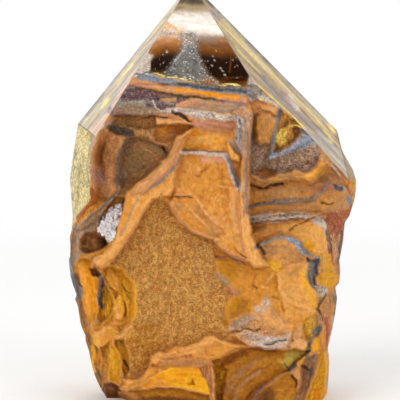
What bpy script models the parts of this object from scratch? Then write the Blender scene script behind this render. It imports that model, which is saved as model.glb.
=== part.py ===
"""Rough tiger's eye block: one natural stone, sawn flat at its foot and polished to a point on top.

The stone stands on its sawn base at z = 0 and is broken and unpolished over most of its sides. Six flat
polished facets meet at the tip. The broken front faces -Y. It is one closed body, because the real one
is a single piece of stone.

The body is a stack of six-cornered slices. Six corner lines run from the foot to the tip and give the
slices their outline at every height; the sides between them are flat where the stone is polished and
rough where it is broken. The front side carries the large hollows, ridges and ledges of the break.
"""

import math

import bmesh
import bpy
import numpy as np
from mathutils import Vector, noise

MM = 0.001

# Driving dimensions, in millimetres, from the middle of the base.
HEIGHT = 120.5
TIP = (-6.1, 5.4)
LEFT_SHOULDER = (-39.8, 13.6, 79.5)
RIGHT_SHOULDER = (37.3, 13.6, 77.5)
BACK_SHOULDER_HEIGHT = 79.0
BACK_HALF_WIDTH = 28.0
BACK_DEPTH = 23.5
FRONT_FACET_LEAN = 0.6  # how far the front facet comes forward for each millimetre down
FRONT_FACET_LEFT_SLOPE = 0.588
FRONT_FACET_RIGHT_SLOPE = 0.608
ROUGHNESS = 0.7  # height of the small breaks on the unpolished sides
CORNER_BLEND = 3.0  # width over which the break meets a corner line
SOFTENING_PASSES = 2  # rounds of evening out the steps of the break

# Mesh fineness: faces across each side of a slice, and slices from foot to tip.
FRONT_FACES = 46
SIDE_FACES = 7
REAR_FACES = 4
BACK_FACES = 8
ROWS = 58


def front_facet_y(z):
    """Depth of the polished front facet's plane at a height."""
    return TIP[1] - FRONT_FACET_LEAN * (HEIGHT - z)


def front_facet_edge(z, slope):
    """Point on one of the front facet's two straight upper edges."""
    return (z, TIP[0] + slope * (HEIGHT - z), front_facet_y(z))


# Corner lines as (z, x, y), from the foot up to the tip.
TIP_POINT = (HEIGHT, TIP[0], TIP[1])
FRONT_LEFT_LINE = [
    (0, -27.5, -7.0), (6, -31.0, -10.0), (12, -34.0, -9.0), (20, -37.0, -7.0), (30, -38.8, -6.0),
    (42, -40.5, -6.0), (50, -39.2, -10.0), (56, -35.5, -17.0), (60, -33.5, -20.0),
    (70, -33.5, -20.8), front_facet_edge(76.6, -FRONT_FACET_LEFT_SLOPE), TIP_POINT,
]
FRONT_RIGHT_LINE = [
    (0, 30.7, -9.0), (10, 30.9, -11.0), (20, 29.0, -11.5), (30, 30.0, -10.5), (40, 30.2, -10.0),
    (50, 31.0, -9.5), (55, 34.0, -8.8), (60, 37.4, -8.0), (63.6, 39.0, -7.6), (68.8, 34.2, -8.0),
    (82, 22.6, -7.1), (90, 13.2, -11.2), front_facet_edge(95, FRONT_FACET_RIGHT_SLOPE), TIP_POINT,
]
RIGHT_LINE = [
    (0, 34.2, 6.0), (9, 34.9, 7.0), (20, 35.9, 7.6), (32, 37.7, 7.6), (45, 38.8, 7.6), (50, 39.2, 7.6),
    (57, 41.9, 7.6), (62, 42.4, 7.6), (67, 40.9, 8.0), (72, 37.9, 9.5),
    (RIGHT_SHOULDER[2], RIGHT_SHOULDER[0], RIGHT_SHOULDER[1]), TIP_POINT,
]
BACK_RIGHT_LINE = [
    (0, 24.0, 19.5), (25, 27.0, 23.0), (BACK_SHOULDER_HEIGHT, BACK_HALF_WIDTH, BACK_DEPTH), TIP_POINT,
]
BACK_LEFT_LINE = [
    (0, -22.0, 19.5), (25, -27.0, 23.0), (BACK_SHOULDER_HEIGHT, -BACK_HALF_WIDTH, BACK_DEPTH), TIP_POINT,
]
LEFT_LINE = [
    (0, -31.0, 4.0), (4, -33.8, 5.0), (10, -36.0, 7.0), (18, -38.4, 7.6), (26, -40.0, 7.6),
    (37, -42.2, 7.6), (48, -41.5, 8.0), (63, -41.9, 9.0), (75, -40.5, 12.0),
    (LEFT_SHOULDER[2], LEFT_SHOULDER[0], LEFT_SHOULDER[1]), TIP_POINT,
]
SIDES = [
    (FRONT_LEFT_LINE, FRONT_RIGHT_LINE, FRONT_FACES),
    (FRONT_RIGHT_LINE, RIGHT_LINE, SIDE_FACES),
    (RIGHT_LINE, BACK_RIGHT_LINE, REAR_FACES),
    (BACK_RIGHT_LINE, BACK_LEFT_LINE, BACK_FACES),
    (BACK_LEFT_LINE, LEFT_LINE, REAR_FACES),
    (LEFT_LINE, FRONT_LEFT_LINE, SIDE_FACES),
]
AROUND = sum(faces for _, _, faces in SIDES)

# Depth of the unbroken front at each height, as (z, y).
FRONT_PROFILE = [(0, -16.5), (12, -15.0), (25, -13.5), (60, -14.0), (76, -15.5), (86, -14.6), (94, -9.9)]

# The large shapes of the break, laid over one another in this order: name, outline as (x, z) points,
# depth at the outline's middle, rise in depth per millimetre of x and of z, and width of its edge.
BREAK = [
    ("left hollow", [(-30, 78), (-24, 82.5), (-6, 81.5), (-6, 78), (-11, 71), (-18, 64), (-25, 60),
                     (-36, 53), (-31, 60), (-30, 74)], -10.5, 0.10, -0.02, 5.0),
    ("lower left flank", [(-44, 44), (-34, 44), (-29, 41), (-25, 38), (-22, 32), (-23, 25), (-25, 14),
                          (-27, 6), (-34, 4), (-44, 20)], -10.5, -0.25, 0.0, 4.0),
    ("scooped edge", [(-28, 40), (-23, 38), (-21.5, 32), (-25, 22), (-32, 21), (-27, 28), (-26, 35)],
     -8.0, 0.0, 0.0, 4.0),
    ("right hollow", [(10.5, 88), (20, 84), (27, 76), (35, 66), (38, 58), (31, 48), (13, 47),
                      (10.5, 62)], -8.8, -0.02, 0.0, 3.5),
    ("shell-shaped break", [(-9, 71.5), (4, 71.5), (8, 61), (9, 46), (11, 41), (5, 43), (-4, 49.5),
                            (-13, 58)], -17.0, -0.02, 0.17, 3.5),
    ("sandy face", [(-14, 58), (-10, 55), (-3, 49), (1, 46), (1.5, 39), (4.5, 34), (3, 24), (-5, 20.5),
                    (-17, 14), (-23, 11), (-24, 21), (-21.5, 32), (-25, 40), (-22, 49), (-18, 56)],
     -13.6, 0.0, 0.03, 3.5),
    ("diagonal rib", [(-9, 77), (-13, 70), (-21, 62), (-25, 57), (-33, 44), (-30, 40), (-24, 47),
                      (-18, 57), (-10, 65), (-7, 71)], -18.5, 0.0, 0.0, 4.0),
    ("plate edge", [(7, 84), (11, 84), (10.8, 62), (11.5, 54), (15, 41), (8.5, 44), (7, 60)],
     -20.5, 0.0, 0.02, 3.0),
    ("amber bulge", [(6, 40), (18, 42), (28, 38), (29, 24), (17, 19), (6, 23)], -13.5, 0.06, 0.05, 5.0),
    ("right flank", [(27, 46), (34, 46), (34, 4), (24, 2), (29, 16), (30, 28)], -9.5, 0.10, 0.0, 4.0),
    ("foot hollow", [(1, 14), (14, 17), (27, 16), (24, 6), (14, 4), (2, 5)], -12.5, 0.05, 0.0, 4.0),
    ("ledge", [(-26, 6), (-18, 12), (-10, 19), (0, 22), (9, 18.5), (3, 13), (0, 7), (-8, 5.5),
               (-20, 5)], -22.3, 0.0, 0.14, 4.0),
    ("undercut", [(-25, 4), (-8, 4.5), (1, 3), (1, -5), (-25, -5)], -16.5, 0.0, 0.0, 3.5),
    ("crystal pocket", [(-36, 45), (-33, 52), (-28, 58), (-25, 56.5), (-25, 50), (-29, 45)],
     -4.0, 0.0, 0.0, 4.0),
]

STONE_BROWN = (0.42, 0.23, 0.07, 1.0)


def corner_at(line, z):
    """Point (x, y) of a corner line at height z."""
    heights = [point[0] for point in line]
    x = np.interp(z, heights, [point[1] for point in line])
    y = np.interp(z, heights, [point[2] for point in line])
    return float(x), float(y)


def smooth(low, high, value):
    """0 below low, 1 above high, and a smooth rise between them."""
    t = min(max((value - low) / (high - low), 0.0), 1.0)
    return t * t * (3.0 - 2.0 * t)


def depth_inside(outline, x, z):
    """Distance from a point to an outline's nearest edge: positive inside, negative outside."""
    nearest = math.inf
    inside = False
    for (ax, az), (bx, bz) in zip(outline, outline[1:] + outline[:1]):
        along = ((x - ax) * (bx - ax) + (z - az) * (bz - az)) / ((bx - ax) ** 2 + (bz - az) ** 2)
        along = min(max(along, 0.0), 1.0)
        nearest = min(nearest, math.hypot(x - ax - along * (bx - ax), z - az - along * (bz - az)))
        if (az > z) != (bz > z) and x < ax + (z - az) * (bx - ax) / (bz - az):
            inside = not inside
    return nearest if inside else -nearest


def break_depth(x, z):
    """Depth of the broken front, before the polished facet cuts it."""
    y = float(np.interp(z, [point[0] for point in FRONT_PROFILE], [point[1] for point in FRONT_PROFILE]))
    for _, outline, depth, rise_x, rise_z, edge in BREAK:
        weight = smooth(-edge / 2, edge / 2, depth_inside(outline, x, z))
        if weight > 0.0:
            middle_x = sum(point[0] for point in outline) / len(outline)
            middle_z = sum(point[1] for point in outline) / len(outline)
            own = depth + rise_x * (x - middle_x) + rise_z * (z - middle_z)
            y += weight * (own - y)
    return y


def small_breaks(x, y, z, size):
    """Uneven height of a broken surface, between about -1 and 1."""
    return noise.noise(Vector((x, y, z)) / size) + 0.5 * noise.noise(Vector((z, x, y)) * 2.3 / size)


def front_point(x, z, left, right):
    """Point of the front side: the break, led into the corner lines and cut by the facet."""
    y = break_depth(x, z) + ROUGHNESS * small_breaks(x, 0.0, z, 6.0)
    for corner_x, corner_y in (left, right):
        y += (corner_y - y) * (1.0 - smooth(0.0, CORNER_BLEND, abs(x - corner_x)))
    return Vector((x, max(y, front_facet_y(z)), z))


def side_point(start, end, share, z, shoulder):
    """Point of a flank or the back: straight between two corner lines, uneven below the shoulder."""
    point = Vector((start[0], start[1], z)).lerp(Vector((end[0], end[1], z)), share)
    outward = Vector((end[1] - start[1], start[0] - end[0], 0.0))
    if outward.length > 0.0:
        rough = (1.0 - smooth(shoulder - 6.0, shoulder - 1.0, z)) * smooth(0.0, 0.25, share * (1.0 - share))
        bump = small_breaks(point.x, point.y, z, 11.0) - 0.4
        point += outward.normalized() * (2.0 * ROUGHNESS * rough * bump)
    return point


def shoulder_between(start_line, end_line):
    """Lowest height at which a side between two corner lines is a polished facet."""
    return min(start_line[-2][0], end_line[-2][0])


def stone_point(around, row):
    """Point of the stone's surface for a step around the slice and a slice number."""
    z = HEIGHT * row / ROWS
    for start_line, end_line, faces in SIDES:
        if around < faces:
            share = around / faces
            start, end = corner_at(start_line, z), corner_at(end_line, z)
            if start_line is FRONT_LEFT_LINE:
                return front_point(start[0] + share * (end[0] - start[0]), z, start, end)
            return side_point(start, end, share, z, shoulder_between(start_line, end_line))
        around -= faces
    raise ValueError("the step is past the end of the slice")


def stone_mesh():
    """A cylinder cut into slices, each slice shaped to the stone's outline and drawn together at the tip."""
    form = bmesh.new()
    front, tip = [], []
    bmesh.ops.create_cone(form, segments=AROUND, radius1=1.0, radius2=1.0, depth=1.0, cap_ends=True)
    upright = [edge for edge in form.edges if edge.verts[0].co.z * edge.verts[1].co.z < 0.0]
    bmesh.ops.subdivide_edges(form, edges=upright, cuts=ROWS - 1, use_grid_fill=True)
    top = [face for face in form.faces if all(vert.co.z > 0.4999 for vert in face.verts)]
    bmesh.ops.delete(form, geom=top, context="FACES_ONLY")
    for vert in form.verts:
        turn = math.atan2(vert.co.y, vert.co.x) / (2.0 * math.pi)
        step = round(turn * AROUND) % AROUND
        row = round((vert.co.z + 0.5) * ROWS)
        vert.co = stone_point(step, row) * MM
        if row == ROWS:
            tip.append(vert)
        elif row > 0 and 0 < step < FRONT_FACES:
            front.append(vert)
    for _ in range(SOFTENING_PASSES):
        bmesh.ops.smooth_vert(form, verts=front, factor=0.5, use_axis_y=True)
    bmesh.ops.pointmerge(form, verts=tip, merge_co=Vector((TIP[0], TIP[1], HEIGHT)) * MM)
    bmesh.ops.recalc_face_normals(form, faces=form.faces)
    mesh = bpy.data.meshes.new("tigers_eye_stone")
    form.to_mesh(mesh)
    form.free()
    return mesh


def stone_material():
    """Golden brown silicified stone, between its matt breaks and its polished facets."""
    material = bpy.data.materials.new("tigers_eye")
    material.use_nodes = True
    shader = material.node_tree.nodes["Principled BSDF"]
    shader.inputs["Base Color"].default_value = STONE_BROWN
    shader.inputs["Roughness"].default_value = 0.55
    shader.inputs["Metallic"].default_value = 0.0
    material.diffuse_color = STONE_BROWN
    return material


def build():
    """Empties the file and makes the stone."""
    for thing in list(bpy.data.objects):
        bpy.data.objects.remove(thing, do_unlink=True)
    stone = bpy.data.objects.new("tigers_eye_stone", stone_mesh())
    stone.data.materials.append(stone_material())
    bpy.context.scene.collection.objects.link(stone)


build()
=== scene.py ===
"""Rough tiger's eye stone: the broken, banded front, the polished point and the quartz in its pocket.

Lengths in the tables are millimetres. The front faces -Y and the foot is at z = 0. The front is drawn as
it is seen from VIEW_POINT: its outlines are (across, up) points on the plane y = DRAWING_PLANE, and each
point of the stone lies on the sight line through its place in the drawing.
"""

import itertools
import math

import bmesh
import bpy
import numpy as np
from mathutils import Matrix, Vector


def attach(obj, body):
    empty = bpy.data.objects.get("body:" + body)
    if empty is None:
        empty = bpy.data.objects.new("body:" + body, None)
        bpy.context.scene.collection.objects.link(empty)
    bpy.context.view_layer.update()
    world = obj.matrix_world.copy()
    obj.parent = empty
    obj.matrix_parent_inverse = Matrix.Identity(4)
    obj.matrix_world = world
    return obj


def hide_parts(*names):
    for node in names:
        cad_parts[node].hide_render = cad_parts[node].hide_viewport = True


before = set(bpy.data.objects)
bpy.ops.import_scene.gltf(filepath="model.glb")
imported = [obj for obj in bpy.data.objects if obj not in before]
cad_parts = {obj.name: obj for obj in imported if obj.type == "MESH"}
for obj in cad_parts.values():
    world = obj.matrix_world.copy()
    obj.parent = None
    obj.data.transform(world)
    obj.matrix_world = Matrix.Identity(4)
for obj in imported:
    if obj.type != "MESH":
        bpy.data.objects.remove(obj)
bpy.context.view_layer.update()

MM = 0.001
STONE_NODE = "tigers_eye_stone"

# Where the front is seen from, and the upright plane that its outlines are drawn on.
VIEW_POINT = (-3.5, -390.6, 90.0)
VIEW_PITCH = 4.7
FOCAL_LENGTH = 122.1
DRAWING_PLANE = -18.6
DRAWING_SHIFT = 0.3  # the drawing lies this far to the right of the stone's own axes
DRAWING_DISTANCE = DRAWING_PLANE - VIEW_POINT[1]

# The polished point.
HEIGHT = 120.5
TIP = (-6.1, 5.4)
FRONT_FACET_LEAN = 0.6
LEFT_SHOULDER = (79.5, -39.8, 13.6)
RIGHT_SHOULDER = (77.5, 37.3, 13.6)
RIGHT_FACET_FOOT = (63.6, 39.0, -7.6)
LEFT_FACET_FOOT_HEIGHT = 76.6
BACK_SHOULDER_HEIGHT = 79.0
BACK_HALF_WIDTH = 28.0
BACK_DEPTH = 23.5

# Mesh fineness: faces across each side of a slice, and slices from foot to tip.
FRONT_FACES = 212
RIGHT_FACES = 26
REAR_FACES = 9
BACK_FACES = 22
LEFT_FACES = 22
BEHIND = REAR_FACES + BACK_FACES + REAR_FACES
AROUND = FRONT_FACES + RIGHT_FACES + BEHIND + LEFT_FACES
ROWS = 328
EDGE_BLEND = 3.0  # width over which the break meets a corner line or the foot
FOOT_REACH = 20.0  # height up to which the slices still dip and rise with the edge of the foot
FOOT_GAP = 0.03  # least height of the places above the foot

CRYSTALS = 260
CRYSTAL_ROOT = 0.4  # how much of each quartz crystal is sunk in the stone

# The room: how bright it is, and the way up to the patch that the front facet mirrors.
ROOM_LIGHT = 1.0
DARK_PATCH = (0.0, -0.44, 0.898)

# The finishes.
QUARTZ_IOR = 1.54
GLOSSY = 0.45  # a face of the mesh at least this glossy takes a polished finish
POLISHED_ROUGHNESS = 0.065
SUGAR_SCALE = 2.6  # how closely the sugary crystals are packed
FIBRE_TURN = (0.0, 0.12, 0.0)
# Painted shade: how much red, green and blue the tint of a deep crevice loses.
PAINTED_CREVICE_SHADE = (0.19, 0.3, 0.42)  # how much red, green and blue a deep crevice loses


def facet_edge(z, slope):
    """Point (z, x, y) on a straight edge of the front facet."""
    return (z, TIP[0] + slope * (HEIGHT - z), TIP[1] - FRONT_FACET_LEAN * (HEIGHT - z))


# The six corner lines as (z, x, y), from the foot up to the tip.
TIP_POINT = (HEIGHT, TIP[0], TIP[1])
FRONT_LEFT_LINE = [
    (0, -30.8, -1.0), (4, -31.3, -4.0), (10, -33.5, -7.0), (14, -34.5, -7.0), (19.5, -36.0, -6.0),
    (25, -37.5, -6.0), (30, -38.2, -6.0), (36, -39.5, -5.0), (42, -40.6, -6.0), (47, -40.0, -8.0),
    (51, -39.0, -11.0), (54, -37.0, -14.5), (57, -35.2, -18.0), (60, -33.6, -20.0),
    (66, -33.5, -20.6), (72, -33.6, -20.8), facet_edge(LEFT_FACET_FOOT_HEIGHT, -0.588), TIP_POINT,
]
FRONT_RIGHT_LINE = [
    (0, 30.7, -9.0), (6, 31.8, -9.0), (10, 32.2, -9.5), (16.5, 31.5, -10.0), (20, 30.4, -10.0),
    (25, 30.6, -9.5), (29, 30.4, -9.5), (33, 31.4, -9.0), (40, 31.0, -9.0), (46, 31.6, -9.0),
    (51, 31.6, -9.0), (55, 33.0, -8.6), (60, 37.6, -7.9), RIGHT_FACET_FOOT, (68.8, 34.06, -8.0),
    (82, 22.5, -7.1), (90, 13.1, -11.2), facet_edge(91.3, 0.6005), TIP_POINT,
]
RIGHT_LINE = [
    (0, 34.2, 6.0), (3.5, 34.6, 6.4), (9, 34.9, 7.0), (13.3, 34.5, 7.6), (19.5, 35.9, 7.6),
    (23.7, 36.6, 7.6), (28, 37.1, 7.6), (31.4, 36.6, 7.6), (32.7, 37.7, 7.6), (36.3, 38.0, 7.6),
    (39.4, 37.7, 7.6), (45.4, 38.8, 7.6), (50.6, 39.2, 7.6), (52.7, 40.6, 7.6), (57.1, 41.9, 7.6),
    (60.3, 42.4, 7.6), (63.2, 42.4, 7.6), (66.1, 41.5, 7.6), (68.9, 39.9, 8.0), (71.6, 38.4, 9.0),
    (74.2, 37.2, 11.0), RIGHT_SHOULDER, TIP_POINT,
]
BACK_RIGHT_LINE = [
    (0, 24.0, 19.5), (25, 27.0, 22.6), (BACK_SHOULDER_HEIGHT, BACK_HALF_WIDTH, BACK_DEPTH), TIP_POINT,
]
BACK_LEFT_LINE = [
    (0, -22.0, 19.5), (25, -27.0, 22.6), (BACK_SHOULDER_HEIGHT, -BACK_HALF_WIDTH, BACK_DEPTH), TIP_POINT,
]
LEFT_LINE = [
    (0, -31.6, 4.0), (1.2, -32.6, 4.4), (3.5, -33.8, 5.0), (5.8, -34.9, 6.0), (8.2, -35.7, 7.0),
    (12.8, -36.6, 7.6), (15.3, -37.5, 7.6), (18.2, -37.6, 7.6), (20.2, -38.9, 7.6), (25.8, -39.7, 7.6),
    (27.7, -40.5, 7.6), (29.7, -39.9, 7.6), (31.7, -41.0, 7.6), (34.6, -41.8, 7.6), (39.6, -42.3, 7.6),
    (41.6, -41.4, 7.6), (46.2, -42.0, 8.0), (48.4, -41.4, 8.0), (52.4, -41.1, 8.4), (63.2, -41.9, 9.0),
    (70.5, -41.1, 11.0), (74.9, -40.4, 12.0), LEFT_SHOULDER, TIP_POINT,
]
# The front edge of the sawn foot as (x, y), from the left corner to the right one.
FOOT_LINE = [
    (-30.8, -1.0), (-27.0, -0.5), (-25.0, -3.0), (-22.5, -9.0), (-19.8, -15.5), (-10, -17.0), (0, -16.5),
    (9, -14.5), (16, -13.0), (24, -12.0), (30.7, -9.0),
]
# Depth of the plain break at each height in the drawing, as (up, y).
FRONT_PROFILE = [
    (0, -16.0), (12, -14.5), (25, -13.6), (60, -14.0), (76, -15.2), (81, -15.8), (83, -15.9),
    (90.5, -11.7), (91.2, -11.2), (92.5, -30.0), (130, -30.0),
]

# Colours of the stone, as sRGB values from 0 to 255.
TONES = {
    "sand": (238, 176, 88), "sand_dark": (208, 142, 62), "amber": (226, 152, 62), "honey": (214, 144, 46),
    "ochre": (198, 132, 20), "mustard": (196, 130, 8), "orange": (240, 152, 12), "sun": (250, 180, 16),
    "peach": (228, 166, 104), "apricot": (238, 172, 92), "rose": (208, 148, 106), "pink": (222, 160, 140),
    "clay": (190, 128, 84), "cocoa": (132, 88, 50), "umber": (98, 64, 34), "soot": (58, 44, 34),
    "rust": (190, 96, 40), "brick": (176, 78, 40), "wine": (112, 70, 78), "mauve": (158, 124, 130),
    "steel": (138, 148, 162), "slate": (80, 88, 100), "ash": (152, 134, 114), "dove": (186, 172, 156),
    "chalk": (222, 210, 200), "ice": (196, 204, 214), "gold": (238, 202, 84), "straw": (222, 202, 130),
    "olive": (150, 128, 62), "moss": (92, 78, 40), "black": (30, 14, 5), "ember": (112, 60, 2),
    "tan": (196, 142, 88), "toffee": (170, 106, 36), "treacle": (128, 74, 18), "shadow": (74, 44, 14),
    "frost": (98, 96, 90), "horn": (150, 134, 96), "fog": (160, 154, 146), "lead": (108, 108, 106),
    "hazel": (120, 92, 56), "dun": (176, 158, 134), "pewter": (68, 64, 57), "lilac": (146, 132, 130),
    "mist": (160, 178, 202), "bronze": (118, 64, 2), "gilt": (240, 216, 110), "cream": (255, 236, 150),
    "oyster": (188, 182, 166), "blush": (200, 168, 146), "flax": (196, 178, 128), "saffron": (238, 176, 40),
    "khaki": (180, 142, 92), "drab": (134, 102, 64),
}

# Surface finishes: how strongly a face is sandy, sugary, fibrous, golden, polished or chipped.
FINISHES = {
    "smooth": {},
    "melted": {"fibre": 0.1},
    "silky": {"fibre": 0.15},
    "fibrous": {"fibre": 0.8},
    "sandy": {"sand": 1.0},
    "gritty": {"sand": 0.5, "sugar": 0.25},
    "sugary": {"sugar": 1.0},
    "veined": {"sugar": 0.7, "gold": 0.15},
    "powdery": {"sugar": 0.55, "sand": 0.3},
    "golden": {"gold": 1.0, "sugar": 0.35},
    "polished": {"gloss": 1.0},
    "frosted": {"gloss": 0.88, "sugar": 0.7},
    "chipped": {"gloss": 1.0, "chips": 1.0},
}
MASKS = ("sand", "sugar", "fibre", "gold", "gloss", "chips")

# Height in millimetres of the ridges and flakes that run along a face of each finish.
RIDGES = {
    "smooth": 0.2, "melted": 0.2, "silky": 0.42, "fibrous": 0.5, "sandy": 0.12, "gritty": 0.5,
    "sugary": 0.36, "veined": 0.3, "powdery": 0.3, "golden": 0.4,
}

# How far, in millimetres, a face fades into its neighbours: by its finish, and for every other finish.
FADES = {"melted": 0.9, "powdery": 1.1, "sugary": 0.55, "sandy": 0.5, "gritty": 0.35}
PLAIN_FADE = 0.18

# Layers of unevenness: how high each is, the size of its lumps in millimetres, and its seed. A face's own
# layers are added to the seed of that face.
EDGE_WANDER = [(0.28, 2.6, 11), (0.16, 0.9, 13)]
FLAKES = [(1.0, (3.4, 2.6, 1), 0), (0.4, (1.2, 1.0, 1), 1)]
FLAKE_STEPS = 2.5
FINE_RIDGES = [(0.4, (1.3, 0.9, 1), 2), (0.22, (0.7, 0.5, 1), 3)]
PLAIN_ROUGHNESS = [(0.3, 1.6, 20)]
BREAK_ROUGHNESS = [
    (0.34, (5.0, 3.6, 1), 21), (0.16, (2.2, 1.5, 1), 22), (0.1, (1.0, 0.8, 1), 23), (0.07, 0.62, 24),
]
SIDE_LUMPS = [(1.1, (4.0, 4.0, 6.0), 76), (0.6, (1.6, 1.6, 2.2), 77), (0.3, (0.8, 0.8, 1.1), 78)]
BACK_LUMPS = [(1.1, 9.0, 71), (0.5, (4.0, 4.0, 2.6), 72), (0.22, (2.4, 2.4, 1.2), 73)]
LINE_FRAY = [(0.5, 0.7, 31), (0.5, 1.9, 32)]
PATCHES = [(0.5, (2.6, 2.2, 1), 0), (0.4, (1.2, 0.8, 1), 1), (0.34, (0.6, 0.42, 1), 2)]
SAND_PATCHES = [(0.5, (0.52, 0.44, 1), 0), *PATCHES[1:]]
BED_WANDER = [(2.6, 16.0, 51), (0.7, 5.0, 52)]

# The beds of the hidden sides, from the foot up: their tones, their height, and how they tilt.
BEDS = [
    "sand", "honey", "ochre", "tan", "cocoa", "amber", "lead", "clay", "honey", "toffee", "ash", "amber",
    "umber", "ochre", "rust", "tan", "slate", "honey", "sand", "treacle",
]
BED_HEIGHT = 2.3
BED_TILT = (0.12, 0.1, 1.0)

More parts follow.
